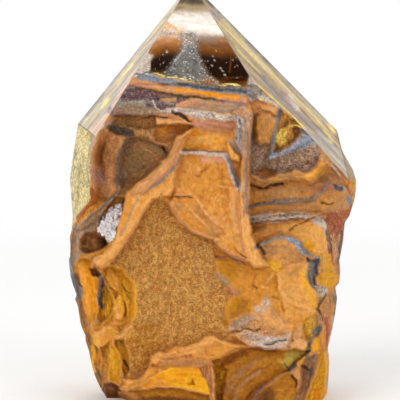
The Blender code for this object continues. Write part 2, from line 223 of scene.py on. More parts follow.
# Faces of the break, in the order they are laid: name, outline as (across, up) points, two tones and finish.
# A face with a depth of its own goes on with y at its middle, how much y rises for each mm across and each
# mm up, and the width of its edge.
FACES = [
    # The side faces.
    ("golden left side", [(-41, 82), (-35, 80.6), (-32.4, 78), (-33.2, 70), (-33.2, 60), (-36, 55.5),
     (-38.4, 51.5), (-43, 50), (-43, 80)], "straw", "olive", "golden"),
    ("left silhouette", [(-43, 79), (-38.3, 79), (-38.6, 66), (-39.2, 60), (-38, 52), (-43, 52)], "straw",
     "olive", "golden"),
    ("rusty right side", [(30.3, 56), (36, 62), (40, 62), (40, 48), (31.4, 47), (31, 51)], "rust", "peach",
     "sugary"),
    ("right side, upper", [(30.5, 47.5), (40, 49), (37, 38), (36, 30), (30, 33), (30, 40)], "clay",
     "apricot", "gritty"),
    ("right side, lower", [(30, 33), (38, 33), (36, 0), (28, 0), (31, 15)], "amber", "clay", "gritty"),
    ("left side, lower", [(-43, 50), (-39.3, 50), (-38, 40), (-35.3, 30), (-33, 20), (-33.5, 12), (-30, 3),
     (-36, 0), (-44, 30)], "toffee", "olive", "gritty"),
    # The bands under the front facet.
    ("purple sugar", [(-27, 84.5), (-22.8, 91.2), (-14, 88.9), (-6.2, 87.5), (-5, 86.4), (-9, 85.3),
     (-11.5, 84.4), (-18.5, 83.2), (-19, 85.4)], "lilac", "wine", "sugary", -13.6, 0, 0.45, 0.8),
    ("orange fleck", [(-14.2, 87.3), (-9.8, 87.6), (-9.6, 86.6), (-13.3, 86.2)], "tan", "clay", "smooth"),
    ("grey shelf", [(-26.5, 86.2), (-18.6, 86.7), (-17.9, 85.1), (-26.5, 84.7)], "fog", "ash", "fibrous",
     -14.6, 0, 0.3, 0.8),
    ("dusky shelf", [(-27.5, 84.8), (-19, 85.2), (-16.6, 84.3), (-10.5, 84), (-10.5, 82.9), (-16, 82.7),
     (-28, 82.3)], "ash", "mauve", "fibrous", -15.9, 0, 0.2, 0.9),
    ("pink panel", [(-9.8, 86), (-5.6, 87.3), (9.6, 85.6), (9.8, 84.6), (6, 83), (-5, 84), (-9.6, 84.7)],
     "rose", "ash", "silky", -14.9, 0, 0.35, 0.9),
    ("grey lip", [(-12.5, 84.7), (-9, 84.9), (-5, 84.1), (0, 83.3), (4, 82.7), (8.2, 82.3), (8.3, 80.9),
     (3, 81.1), (-1, 81.5), (-5, 82.2), (-9, 83.2), (-12, 83.6)], "chalk", "chalk", "sugary", -16.2, 0, 0.1,
     0.8),
    ("pink underside", [(-15.5, 82.9), (-10.5, 82.7), (-6, 81.4), (0, 81.2), (6.8, 80.6), (5.8, 78.6),
     (2, 78.6), (-4, 79), (-5, 80.4), (-10, 80.6)], "pink", "clay", "melted", -15.4, 0, -0.5, 0.8),
    ("black crack", [(-10.7, 83.5), (-8.2, 83.2), (-5.3, 81), (-6.5, 81.3), (-9, 82.6)], "dun", "tan",
     "smooth", -12.5, 0, 0, 0.5),
    # The hollow at the left.
    ("left hollow", [(-29.5, 80.2), (-26.6, 82.6), (-15.3, 82.4), (-10.4, 80.8), (-5.4, 79.9), (-4.6, 79),
     (-9.4, 76.7), (-11, 73), (-15.2, 68), (-19.2, 64.8), (-24, 61), (-27, 59.6), (-33, 54.6),
     (-38.5, 50.4), (-38.4, 51.8), (-36.6, 54.6), (-33.6, 58.5), (-33.2, 63), (-32.7, 72), (-31.4, 76.4)],
     "khaki", "peach", "fibrous", -11.5, 0.12, -0.03, 2.2),
    ("hollow, upper brown", [(-29, 80.6), (-26.4, 82.4), (-15.3, 82.3), (-15, 79.4), (-20, 79),
     (-26, 79.6)], "tan", "khaki", "fibrous", -10.8, 0, -0.35, 1.2),
    ("hollow, left amber", [(-29.5, 79.6), (-27, 78.4), (-24.6, 77), (-24.4, 74), (-26.2, 71), (-26.6, 66),
     (-26.4, 62), (-29.5, 58.6), (-33.4, 62), (-32.8, 71), (-31.4, 76.4)], "peach", "toffee", "gritty",
     -13.5, -0.75, 0, 1.6),
    ("hollow, grey patch", [(-30, 80.2), (-26, 79.9), (-21.6, 78.4), (-20.8, 76.7), (-24.3, 77.2),
     (-28, 78.3)], "ash", "fog", "sugary", -9.6, 0, 0.1, 1),
    ("hollow, dark back", [(-22.5, 77), (-17.5, 76.2), (-13, 74.2), (-11.4, 71.6), (-15.4, 67.9),
     (-19.4, 65), (-24.6, 62.9), (-25.3, 68), (-24.6, 72), (-23.4, 76)], "khaki", "tan", "gritty", -8.8,
     -0.12, 0.05, 1.6),
    ("hollow, dark blot", [(-25.3, 68), (-24.2, 68.4), (-22.9, 66.6), (-23.3, 64.2), (-24.6, 63.5),
     (-25.2, 65.4)], "ash", "tan", "powdery", -9.4, 0, 0, 0.8),
    ("hollow, pink stain", [(-33, 68.5), (-30.8, 68), (-29.2, 66.4), (-28.9, 64), (-31, 63.4), (-33, 65.5)],
     "pink", "blush", "powdery"),
    ("hollow, rust foot", [(-33.4, 63.5), (-31.5, 61.2), (-30, 59.6), (-33.4, 56.4), (-37, 53),
     (-37.6, 54.6), (-33.8, 58.6)], "toffee", "rust", "fibrous", -14.6, -0.1, 0, 1),
    ("hollow, ochre strip", [(-31, 59.6), (-29.2, 58.8), (-33, 55.4), (-37.4, 51.2), (-39, 50.6),
     (-38.6, 52), (-34.8, 56)], "amber", "ochre", "fibrous", -16, 0, 0, 0.8),
    ("shaded wedge", [(-15.6, 79.7), (-11.5, 80.7), (-7, 80.7), (-4.4, 79.1), (-9.3, 76.8), (-12.5, 74.6),
     (-15, 75.4), (-16, 77.4)], "toffee", "tan", "smooth", -11.6, -0.2, -0.5, 1),
    ("wedge, lit corner", [(-16, 79.2), (-12.4, 80.4), (-11, 79.4), (-13, 77.5), (-15.6, 76.6)], "honey",
     "toffee", "melted"),
    ("peach sliver", [(-15.4, 82.4), (-10.6, 82.4), (-6, 81.2), (-5.2, 80.4), (-9, 80.5), (-15.2, 80.1)],
     "peach", "rose", "smooth", -15.2, 0, 0.25, 0.6),
    # The middle of the front.
    ("orange panel", [(-8.4, 76.2), (-6.5, 78.2), (-4.4, 79.1), (5.8, 78.7), (4.9, 75.4), (4.3, 73),
     (-7.6, 73)], "sand", "orange", "silky", -14.4, 0, -0.12, 0.9),
    ("panel, shaded top", [(-4.4, 79.2), (5.8, 78.9), (5.4, 77.6), (-3, 78)], "clay", "toffee", "melted"),
    ("red knot", [(4.6, 76), (7.2, 76.2), (8.2, 73), (7.4, 71.4), (6, 71.6), (4.9, 73)], "blush", "rose",
     "melted", -15.4, 0, 0, 0.8),
    ("knot rim", [(4.4, 75), (5.1, 74.8), (6, 72.6), (7.8, 71.4), (7.6, 70), (5.6, 70.6), (4.4, 72.6)],
     "apricot", "sand", "smooth", -17.2, 0, 0, 0.6),
    ("shell break", [(-8.2, 71.8), (3.8, 71.7), (5.2, 68.6), (7, 63), (8.2, 60), (8.3, 50), (9.2, 46),
     (10.8, 42.2), (8, 42.6), (5.6, 43.6), (2.4, 46), (0.3, 48.2), (-3.5, 49.2), (-7, 51.8), (-9.6, 54.5),
     (-11.4, 58.3), (-10.4, 60.6), (-10.2, 66)], "amber", "apricot", "silky", -17, -0.04, 0.15, 0.9),
    ("shell, pink top", [(-3.2, 71.6), (3.4, 71.5), (2.6, 69.6), (-0.5, 70), (-3, 70)], "pink", "peach",
     "melted"),
    ("shell, scoop", [(-4, 65.8), (-2.2, 67.4), (0, 69), (2.4, 66.4), (3.2, 63.4), (2, 60.4), (-2, 60.2),
     (-4.4, 61.2)], "amber", "honey", "silky", -16.4, 0, 0.1, 0.7),
    ("shell, darker lobe", [(-10.2, 60.3), (-5.6, 60.3), (-3.6, 59), (-1.6, 55.6), (2.2, 52.4), (3.9, 50),
     (1, 48.9), (-4, 50.6), (-8.6, 54.4), (-10.4, 57.6)], "amber", "tan", "melted", -16.6, 0, 0.12, 0.8),
    ("shell, dusky spot", [(0.5, 54), (3.6, 55.5), (4.6, 52.6), (2.2, 51), (0.2, 52)], "peach", "amber",
     "melted"),
    ("shell, right flank", [(5, 63), (7.4, 62.4), (8.2, 57), (8.4, 50), (9.2, 46), (11, 42.2), (8.4, 43.5),
     (6.6, 47), (5.4, 53), (4.8, 58)], "apricot", "peach", "silky", -18.6, -0.2, 0, 1.2),
    ("sandy face", [(-15, 59), (-13, 59), (-11.6, 57.4), (-10.3, 55), (-8, 52.6), (-5, 50.4), (-2, 49.2),
     (0.4, 48.2), (1.4, 46), (1.3, 39), (2.4, 37), (4.8, 35), (5.6, 33.2), (3.6, 30), (3.5, 26),
     (5.6, 23.6), (4.4, 21.4), (1.5, 22), (-1.2, 21.6), (-4, 20), (-10, 18.6), (-14, 17.6), (-16.6, 16),
     (-17, 13.4), (-19, 10.8), (-22, 10.6), (-24.4, 9.6), (-23.2, 12), (-23.2, 17), (-25, 21),
     (-22.6, 24.6), (-21, 28), (-20.8, 33), (-22, 37.4), (-25.4, 40.4), (-29, 41.6), (-26.4, 43.8),
     (-22.8, 49), (-19.8, 54.4), (-17.6, 57.8)], "sand", "sand_dark", "sandy", -13.9, 0, 0.02, 0.9),
    ("sand, rosy patch", [(-4, 49), (0.5, 47), (1.2, 40), (2.4, 36), (-1.5, 33), (-4.5, 38), (-6, 44)],
     "sand", "tan", "sandy"),
    ("sand, golden foot", [(-22.5, 24.4), (-16, 25), (-12, 19), (-17.6, 13), (-22.6, 11), (-22.8, 17),
     (-24.6, 21)], "honey", "sand", "sandy"),
    # The rib that runs down from the middle to the left.
    ("diagonal rib", [(-4.4, 79.1), (-7, 78), (-9.4, 76.8), (-10.2, 75), (-12, 71.3), (-15, 68.2),
     (-19, 65.2), (-23, 61.7), (-24.2, 60.3), (-24.1, 58), (-25.3, 54.5), (-26.2, 50), (-28, 46.6),
     (-31.4, 44.3), (-32.6, 42.8), (-31.8, 41.2), (-29.8, 40.4), (-27.5, 42.2), (-25, 45.7), (-22, 50.2),
     (-19.5, 54.3), (-18.1, 57.2), (-16.3, 59.3), (-13, 60.2), (-11.2, 60.6), (-10.3, 63), (-10, 67),
     (-8.2, 71.8), (-7.9, 73.2), (-7.3, 76.2)], "apricot", "amber", "silky", -18.2, 0.03, 0, 1.3),
    ("rib, crest", [(-5.6, 78), (-9.2, 76.2), (-11.6, 71), (-15, 67.6), (-19, 64.6), (-22.8, 61.2),
     (-22, 60), (-18, 62.2), (-13.6, 65.4), (-10.4, 69), (-8.9, 73), (-7.9, 75.8)], "clay", "peach",
     "smooth", -19, 0, 0, 0.9),
    ("rib, deep orange", [(-24, 60.2), (-22.2, 60), (-21.2, 58.4), (-23, 54), (-25, 50), (-25.8, 51),
     (-25, 55)], "amber", "orange", "melted"),
    # The plate that stands up to the right of the middle.
    ("grey seam", [(6.4, 82.2), (8.6, 82.2), (8.6, 77), (8.2, 72), (7.4, 73.4), (6.6, 76)], "ice", "dove",
     "sugary", -17.8, 0, 0, 0.7),
    ("plate", [(9.3, 85), (10.8, 84), (11.8, 81.6), (11.5, 78), (11, 75), (10.6, 70), (10.1, 66),
     (10.2, 61), (10.2, 55), (10.8, 51.4), (12.4, 46.6), (15.6, 40.9), (12, 40.4), (10.4, 42.6), (9, 46.4),
     (8.2, 50.4), (7.9, 56), (7.6, 62), (8, 68), (8.2, 72), (8.5, 77), (8.5, 82), (6, 83.2), (7.6, 84.6)],
     "rose", "blush", "fibrous", -20.4, 0.1, 0, 0.9),
    ("plate, lower leaf", [(9.6, 55.6), (10.3, 55), (10.9, 51.4), (12.5, 46.6), (15.5, 40.9), (12, 40.5),
     (10.4, 42.7), (9, 46.6), (8.4, 50.6), (8.2, 54)], "apricot", "peach", "silky", -19.8, 0.1, 0, 0.8),
    # The right of the front, from the top down.
    ("rosy crest", [(10, 86), (10, 88), (14, 88.4), (17.5, 87), (19, 84.8), (17.4, 84), (15, 86),
     (12, 86.4)], "chalk", "cream", "gritty", -12.2, 0, 0.3, 0.8),
    ("crest, wine spot", [(11, 87), (12.6, 87.5), (13.8, 86.2), (12.4, 86.2)], "mauve", "pink", "smooth"),
    ("pale crest", [(12.2, 88.6), (15, 89), (18, 86.8), (17, 86.6), (14, 87.8)], "ice", "ice", "sugary",
     -12.4, 0, 0.3, 0.6),
    ("right hollow", [(11.4, 83.6), (18.6, 84.6), (24.8, 79.6), (29, 76), (30.4, 73), (29.7, 70),
     (28.6, 67.8), (26, 66.6), (23, 67.4), (18, 66.2), (14, 65.2), (10.6, 66.6), (10.4, 75)], "blush",
     "khaki", "sugary", -7.6, 0, -0.05, 1.3),
    ("hollow, dark corner", [(13.2, 65.6), (12.4, 67.4), (14.4, 68.6), (17, 67.4), (17, 66)], "peach",
     "tan", "smooth", -5.8, 0, 0, 1),
    ("brown brow", [(10.3, 86.4), (12, 86.8), (16, 86.2), (18.2, 84.7), (17.7, 82.6), (14, 84.6),
     (11.8, 83), (10.9, 84.2)], "peach", "clay", "silky", -11.4, 0, 0.2, 0.8),
    ("amber knob", [(11.8, 82.8), (13.4, 84.4), (17, 83.4), (17.8, 81), (17, 78), (15.4, 75.4),
     (13.2, 74.8), (12, 76), (11.6, 79)], "honey", "tan", "silky", -11.6, 0.12, 0.06, 2.4),
    ("golden window", [(18.7, 84.6), (20.2, 83.2), (23.2, 81), (25.2, 79.2), (24.2, 77.4), (20.6, 74),
     (17.3, 72.8), (17.9, 78)], "sand", "umber", "fibrous", -6.4, 0, 0, 0.8),
    ("gold in the window", [(17.4, 76), (17.8, 77.6), (19, 79), (20.8, 79.6), (20.9, 77.8), (20, 75),
     (18.8, 73.9), (17.6, 74.7)], "gilt", "sun", "golden", -7.6, 0, 0, 0.6),
    ("peach ledge", [(10.2, 66.8), (12, 66.2), (14, 65.4), (17, 66.2), (20, 66.9), (23, 67.6), (26, 66.7),
     (28.2, 67.8), (29.6, 70.2), (30.4, 73), (31.6, 71.4), (31.2, 69), (29.4, 66.4), (27, 64.4),
     (25.2, 65.6), (22, 65.8), (18, 64.8), (14, 63.6), (12, 64.4), (10.2, 65.2)], "tan", "honey", "smooth",
     -11.4, 0, 0, 0.8),
    ("brown band", [(10.4, 64.4), (12, 63.8), (14, 63.2), (18, 64.4), (22, 65.4), (25.4, 65.2), (27.2, 64),
     (29.6, 66), (31.4, 69), (33.5, 68), (36, 65), (38.5, 61), (38, 57), (30.4, 55.8), (22, 55.6),
     (10.4, 55)], "tan", "honey", "silky", -9.4, 0.02, 0.04, 0.8),
    ("band, grey tan", [(26, 64), (29.6, 66), (33.6, 67.6), (36.6, 64), (33, 60.4), (30, 60.6), (27, 61)],
     "clay", "drab", "melted"),
    ("dusky band", [(10.4, 55.2), (16, 56), (26, 56.2), (27.6, 54.8), (26.6, 53.6), (22, 53.4), (15, 52.8),
     (11.2, 51.8)], "chalk", "apricot", "gritty", -11.4, 0, 0.1, 0.7),
    ("glowing band", [(11, 52), (15, 52.9), (22, 53.6), (26, 54.2), (30.4, 55), (31.6, 50), (31.8, 46),
     (30.2, 43.6), (27, 44.2), (24.8, 45.4), (23.4, 48.8), (20, 49.8), (16, 49.2), (12.8, 47), (11, 50)],
     "apricot", "sand", "silky", -9.9, 0, 0.16, 0.8),
    ("band, brown rim", [(11, 52.4), (15, 53.2), (15, 51.4), (12.6, 50.2), (11.4, 50)], "toffee", "tan",
     "smooth"),
    ("yellow dimple", [(25.2, 46.2), (26.4, 48.6), (28.6, 46.8), (28, 45.2), (26.4, 44.8)], "sun", "orange",
     "melted", -10.2, 0, 0, 0.8),
    ("pale corner", [(26.6, 54), (30.2, 55.6), (31.6, 52.6), (31.6, 49.6), (30.4, 51.6), (28.4, 52.8)],
     "chalk", "rose", "smooth"),
    ("amber dome", [(13, 47.2), (16.6, 49), (20, 49.6), (22.6, 48.8), (24.4, 45.6), (26.4, 43.8),
     (25.6, 42), (23, 41.6), (19.2, 39.6), (15.6, 40.8), (13.4, 44)], "tan", "apricot", "silky", -13, 0.1,
     0, 2.2),
    ("dome, bright foot", [(14.8, 42.2), (17, 43), (19.4, 41.4), (19.8, 39.4), (17.2, 38.4), (15.4, 40.6)],
     "sun", "gold", "melted"),
    ("slate lens", [(26.4, 43.4), (27.3, 42.9), (28.6, 43.4), (29.8, 44), (29.9, 42.4), (29, 40.6),
     (29.4, 39.1), (28.6, 37.6), (29, 36.4), (30, 35.1), (31.4, 34.4), (31.3, 33), (30.6, 32.6), (29, 34.1),
     (27.6, 35.4), (26.9, 36.9), (26, 38.7), (26.3, 40.4), (25.9, 41.7)], "slate", "dove", "gritty", -10.6,
     0.2, 0, 0.7),
    ("lens tail", [(28.4, 35.6), (29.8, 36.4), (31.9, 34.4), (31, 32.5), (29.6, 33)], "chalk", "apricot",
     "sugary"),
    # The smooth amber swell under them.
    ("amber swell", [(1.2, 43), (5.5, 43.7), (9, 42.3), (10.5, 42.2), (12, 40.4), (15.6, 40.8), (18.6, 39),
     (20.6, 41), (23.4, 41.8), (26.4, 42), (26, 39.8), (26.4, 36.8), (28.4, 34), (29.4, 29), (28.8, 28),
     (26, 26.4), (25, 24.6), (23.2, 24), (22, 21), (12, 21), (5.6, 24), (3.6, 26), (3.6, 30), (5.6, 33.2),
     (4.8, 35), (2.4, 37), (1.2, 39)], "honey", "amber", "silky", -14.8, 0.05, 0.03, 1.6),
    ("swell, right plane", [(18.7, 38.8), (21, 41.2), (26.2, 42), (26, 39.8), (26.2, 37), (28.4, 34),
     (29.2, 29), (26, 26.4), (23, 24.4), (20, 25), (19.4, 29), (18.6, 34)], "apricot", "amber", "melted",
     -13.6, 0.16, 0, 1.2),
    ("swell, yellow edge", [(24.6, 40), (26.2, 40.4), (26.4, 36.8), (28.4, 34), (29.2, 29.4), (27.4, 28.8),
     (26, 32), (24.6, 35)], "sun", "apricot", "melted"),
    ("swell, brown patch", [(19.4, 40.2), (22, 41.4), (25.4, 41.8), (24.6, 40), (22, 38)], "tan", "amber",
     "melted"),
    ("swell, upper pool", [(1.5, 43.4), (4.6, 43.2), (6.6, 41.8), (7.2, 39), (5.4, 37), (2.4, 38.6),
     (1.5, 40.6)], "ochre", "toffee", "melted"),
    ("swell, lower pool", [(3.2, 24.2), (3.6, 27), (5.2, 31.6), (7.2, 32.4), (10.4, 32), (10.8, 29),
     (9, 27.4), (6.4, 26), (5, 24)], "mustard", "toffee", "melted"),
    ("swell, grey smear", [(1.4, 38.8), (2.6, 38.6), (5, 36.2), (4.4, 35.2), (2.6, 36.6)], "ash", "mauve",
     "melted"),
    ("swell, rosy shelf", [(4, 34.6), (6.6, 35), (8.8, 33.8), (7.6, 33), (5.6, 32.4), (4.4, 33.4)], "clay",
     "mauve", "melted"),
    ("swell, pale middle", [(11, 29.6), (13.2, 30.6), (15.4, 32.2), (16.6, 30), (19, 27), (21.4, 24.8),
     (22, 22.4), (18, 21.6), (14, 23.6), (12, 26)], "peach", "tan", "melted"),
    ("swell, frosted spots", [(12, 29.4), (14, 30.2), (15.2, 32.6), (16.4, 30.8), (15, 29), (12.6, 28.2)],
     "chalk", "peach", "powdery"),
    ("olive grit", [(5.6, 23.8), (9, 26), (12, 26), (17, 24), (21, 22.4), (21.4, 20.8), (15, 21.2),
     (11, 22.6)], "peach", "apricot", "powdery", -14.6, 0, 0, 0.8),
    ("grey crust", [(4.2, 23), (5.6, 25.4), (8, 27), (10.2, 27.6), (11.8, 26.6), (9.6, 24.8), (7, 24),
     (5.4, 22.8)], "dove", "peach", "powdery", -15, 0, 0.05, 0.8),
    ("white crust", [(5.4, 21.8), (8.4, 23.4), (12, 22.6), (15, 21.6), (18.6, 21), (20.4, 21.8), (22.4, 22),
     (22, 19.6), (19.4, 17.7), (14, 17.9), (10.2, 18.8)], "chalk", "apricot", "powdery", -15.6, 0, 0.1,
     0.8),
    ("crust, rosy middle", [(8.4, 22.2), (12, 21.8), (14.4, 20.9), (12.4, 20.3), (9.2, 21)], "rose", "dove",
     "powdery"),
    ("orange chip", [(22.3, 20.4), (23.2, 23.8), (25, 24.8), (25.4, 22), (24, 20)], "peach", "tan",
     "smooth", -14.6, 0, 0, 0.5),
    ("peach chip", [(21.4, 19.4), (23.6, 20.4), (25.6, 21), (26.6, 19.4), (25.8, 17.6), (21.6, 17.6)],
     "peach", "apricot", "smooth", -14.8, 0, 0, 0.5),
    # The hollow at the foot, right of the middle.
    ("foot hollow", [(0.2, 14.6), (3, 15.6), (6, 17), (9.6, 18.2), (14, 17.9), (20, 17.6), (26, 17.4),
     (27.2, 17.4), (24, 14.4), (20.4, 11.6), (16, 8.6), (12.8, 5.8), (10.6, 2), (9.6, -2), (0.6, -2),
     (0.6, 8)], "honey", "ochre", "silky", -10.6, 0.06, 0.12, 1.2),
    ("hollow, olive roof", [(18, 14.6), (20.6, 17.4), (26.2, 17.4), (26.4, 16.2), (23.4, 13.9),
     (20.6, 12.6)], "gilt", "sun", "melted"),
    ("hollow, dark sand", [(0.4, 13), (3, 13.6), (4.6, 12), (3.6, 9), (3.1, 5), (3.2, -2), (0.6, -2),
     (0.4, 6)], "saffron", "ochre", "sandy", -9.6, 0, 0, 1),
    ("hollow, pale run", [(8.6, 8), (11, 11), (14, 12.4), (15, 11.4), (12, 8.6), (10.4, 5)], "mustard",
     "toffee", "melted"),
    ("amber block", [(13, 6), (15.4, 8.2), (19, 10.4), (22, 11.2), (24, 9), (25.2, 5), (24, -2), (10.6, -2),
     (11.4, 2.6)], "ochre", "toffee", "silky", -13.4, 0.04, 0, 0.8),
    ("block, burnt corner", [(13.4, 5.4), (16, 7.4), (18, 5.4), (17, 2), (15, -2), (10.8, -2), (12, 3)],
     "treacle", "shadow", "melted"),
    ("grey dyke", [(24.8, 12.4), (26, 14.6), (28.6, 16.6), (30.2, 16.4), (29.2, 13), (27.4, 9), (26, 4.6),
     (25, -2), (21.6, -2), (23.4, 5), (25, 9)], "tan", "slate", "gritty", -12.2, 0, 0, 0.8),
    ("dyke, rosy side", [(24.4, 12.8), (25.6, 13.6), (25.6, 9.6), (24.8, 6), (23.6, 4), (23.8, 7.6)],
     "rose", "clay", "smooth"),
    ("right block", [(30.4, 16.6), (32.4, 17.4), (32.8, 10), (32, 5), (29.6, 2.6), (27.6, -2), (25.6, -2),
     (26.6, 5), (28, 9), (29.8, 13)], "sun", "orange", "gritty", -10.2, 0.2, 0, 0.8),
    ("block, dimple", [(28, 6.6), (29.8, 7), (30.8, 5), (29.6, 2.8), (28, 3.6)], "orange", "ochre",
     "melted", -9.2, 0.2, 0, 0.7),
    # The narrow chunks up the right edge.
    ("orange chunk", [(30, 44.2), (32, 45.6), (33.8, 43), (34, 39.8), (31.4, 39.4), (30, 41)], "sun",
     "apricot", "gritty"),
    ("yellow chunk", [(29.4, 37), (30.6, 39.4), (34.4, 39.6), (35.4, 37), (33, 34.4), (31.6, 35.4),
     (30.2, 36)], "sun", "orange", "gritty"),
    ("chunk, brown dent", [(29.8, 38.8), (31.2, 38.6), (31, 36.9), (29.9, 37.4)], "ochre", "sun", "melted"),
    ("tan chunk", [(30.6, 32.4), (32.8, 33.8), (34.4, 31), (33.8, 26.8), (31.6, 27.4), (30.6, 29.8)],
     "amber", "tan", "gritty"),
    ("chunk, green rim", [(33, 33.8), (34.4, 32.6), (34.6, 29.6), (33.4, 31)], "olive", "steel", "sugary"),
    ("rosy chunk", [(28.6, 28.4), (31.2, 28.4), (31.8, 26), (29.6, 23.8), (28.6, 25.8)], "peach", "clay",
     "sugary"),
    ("red wedge", [(31.4, 26.8), (32.8, 26.8), (32.6, 22), (31.2, 19.6)], "brick", "rust", "smooth"),
    ("ochre chunk", [(25.4, 25.4), (28.4, 28.2), (29, 25), (28.2, 21.6), (26.6, 20.4), (25.6, 22.6)],
     "saffron", "hazel", "gritty", -12.8, 0.15, 0, 0.6),
    ("sunlit chip", [(26.9, 19.4), (28.2, 20.4), (30, 21.2), (30.2, 18), (29.6, 16.9), (27, 17.2)], "sun",
     "orange", "melted", -13.6, 0, 0, 0.5),
    ("orange spine", [(29.8, 24), (31.4, 24.6), (31.4, 18), (30.4, 16.8), (30.2, 20.6)], "orange", "clay",
     "smooth"),
    ("pale right rim", [(32.6, 26.4), (33.9, 27.4), (33.4, 20), (33.2, 12), (32.6, 5), (32, 8), (32.6, 17)],
     "peach", "chalk", "sugary"),
    # The crystal pocket and the flank under it.
    ("pocket wall", [(-40.4, 51.4), (-36.4, 51), (-31, 55), (-26.5, 60.2), (-24.1, 60.4), (-24.1, 58),
     (-25.4, 54.4), (-26.4, 50), (-28, 46.4), (-31.5, 44.3), (-36.4, 44.2), (-40.4, 45)], "ash", "tan",
     "gritty", -12.6, 0, 0, 1),
    ("pocket slit", [(-31, 53.8), (-28.6, 57.6), (-26.2, 60), (-24.3, 60.1), (-24.3, 58), (-26.6, 57.4),
     (-29.6, 54.8), (-30.4, 52.4)], "sand", "sand", "smooth", -9.5, 0, 0, 0.8),
    ("crystal bed", [(-31, 51.2), (-30.4, 53.2), (-29.4, 55.2), (-27, 57), (-25, 58.2), (-24.5, 57),
     (-26.3, 51), (-27.2, 48.4), (-28.2, 47.8), (-29.2, 49.6)], "pink", "clay", "sugary", -12.4, 0.1, 0,
     0.8),
    ("pocket mouth", [(-36.2, 48), (-34.6, 50.2), (-32, 50.4), (-29.2, 49.1), (-27.7, 48), (-28.7, 46.2),
     (-31, 45), (-34.4, 44.7), (-36.2, 46)], "peach", "tan", "gritty", -6.6, 0.75, 0, 1),
    # Painted shade: the deep end of the pocket mouth and its pits are toned dark as holes in shade.
    ("mouth, deep end", [(-30.2, 48.9), (-29.1, 49.5), (-28, 48.9), (-27.7, 47.8), (-28.3, 46.7),
     (-29.7, 46.5), (-30.7, 47.8)], "umber", "soot", "melted"),
    ("mouth, left pit", [(-35.6, 48), (-34.6, 48.4), (-34, 47.8), (-34.4, 46.9), (-35.3, 47)], "cocoa",
     "umber", "melted", -8.2, 0, 0, 0.5),
    ("mouth, low pit", [(-34.6, 45.8), (-33.6, 46.2), (-32.9, 45.6), (-33.6, 44.7), (-34.4, 44.9)], "cocoa",
     "moss", "melted", -8.6, 0, 0, 0.5),
    ("pocket, orange lip", [(-36.4, 44.7), (-33, 43.7), (-30, 44.3), (-28, 46), (-26.7, 48.6), (-26, 50.4),
     (-27.4, 48), (-29.4, 46), (-32, 44.9)], "ochre", "honey", "smooth", -14.6, 0, 0, 0.7),
    ("grey rind", [(-41.4, 46), (-38.6, 44.4), (-38.6, 40), (-36.7, 37.6), (-35.6, 34.4), (-36.2, 31),
     (-39, 33), (-41.4, 40)], "lead", "ash", "gritty"),
    ("grey rind, head", [(-41, 44.6), (-38.8, 44.2), (-37.4, 44.5), (-36.6, 43.6), (-37.6, 42.2),
     (-38.2, 40.6), (-37.9, 38.6), (-41, 38.6)], "fog", "ash", "gritty"),
    ("orange flank", [(-38.2, 40.4), (-36.4, 43.2), (-34.6, 43.6), (-32.8, 43), (-33.2, 40.6), (-32, 38),
     (-31.2, 36.6), (-30.9, 33), (-31.2, 29.6), (-32, 26.6), (-33.9, 25), (-34.8, 27), (-35.3, 31),
     (-35.5, 34.6), (-36.4, 38), (-38, 39)], "orange", "mustard", "smooth", -11.2, -0.2, 0, 0.9),
    ("flank, dark notch", [(-38, 39), (-36.8, 38.8), (-35.6, 35.4), (-36.6, 36.4)], "umber", "toffee",
     "smooth", -8, 0, 0, 0.5),
    ("flank, pale wedge", [(-32.9, 42.9), (-31.4, 43.6), (-29.9, 43.2), (-32, 42.3)], "tan", "peach",
     "smooth"),
    ("flank, dark blot", [(-33.5, 40.4), (-32.2, 40.8), (-31, 39.2), (-31.6, 38.1), (-33.1, 38.5)],
     "toffee", "cocoa", "melted", -9.6, 0, 0, 0.6),
    ("fibrous strip", [(-30.3, 36.6), (-28.8, 35.2), (-27.3, 32), (-27, 30), (-28.2, 27), (-30.6, 25.3),
     (-31.6, 26.2), (-30.9, 30)], "saffron", "ochre", "fibrous", -10.4, -0.25, 0, 0.8),
    ("flank, grey foot", [(-35.4, 27), (-33.6, 24.8), (-31, 26.2), (-30.4, 25.2), (-33.4, 22.6),
     (-35.4, 22)], "honey", "olive", "gritty"),
    ("scoop", [(-29.8, 40.3), (-27.6, 41.2), (-24.6, 39.8), (-22.2, 36.8), (-21.3, 33), (-21.2, 29.4),
     (-22.2, 26), (-25, 22.6), (-26.6, 21.2), (-29.2, 23.4), (-30.8, 24.6), (-28.2, 27), (-26.8, 30),
     (-26.9, 32.4), (-28.2, 35), (-30.2, 37.4)], "saffron", "amber", "silky", -10.8, -0.05, 0, 1.2),
    ("scoop, deep side", [(-27.2, 40.2), (-24.8, 39), (-22.7, 36), (-21.7, 32.4), (-22.2, 31), (-23.6, 33),
     (-25.2, 36)], "sun", "gold", "melted", -10.5, 0.3, 0, 0.8),
    ("scoop, flat", [(-26.8, 31.8), (-25.6, 33.2), (-24.2, 31.6), (-24, 28), (-25, 26), (-27.4, 26.4)],
     "honey", "saffron", "smooth", -12, 0, 0, 0.6),
    ("scoop, orange top", [(-29.8, 40.2), (-27.6, 40.8), (-25.2, 37), (-25.4, 33.4), (-27.2, 34.4),
     (-29.6, 37.6)], "honey", "toffee", "silky", -12.4, -0.1, 0, 0.9),
    ("knuckle", [(-33.2, 22.4), (-30.4, 25), (-26.6, 24), (-25.2, 22.4), (-27.4, 19.8), (-29.6, 18.2),
     (-32.6, 18.8)], "amber", "saffron", "melted", -12.6, -0.2, 0, 1.2),
    ("burnt strip", [(-33.1, 19.6), (-31, 18.4), (-30.4, 15), (-30.9, 12.6), (-33.2, 13.6)], "orange",
     "bronze", "silky", -10.8, -0.1, 0, 0.8),
    ("rosy groove", [(-30.6, 18.4), (-28.6, 19.6), (-27.6, 17), (-28.1, 13), (-28.6, 8.6), (-30.4, 8.8),
     (-30.6, 13)], "honey", "tan", "gritty", -11.2, 0, 0, 0.8),
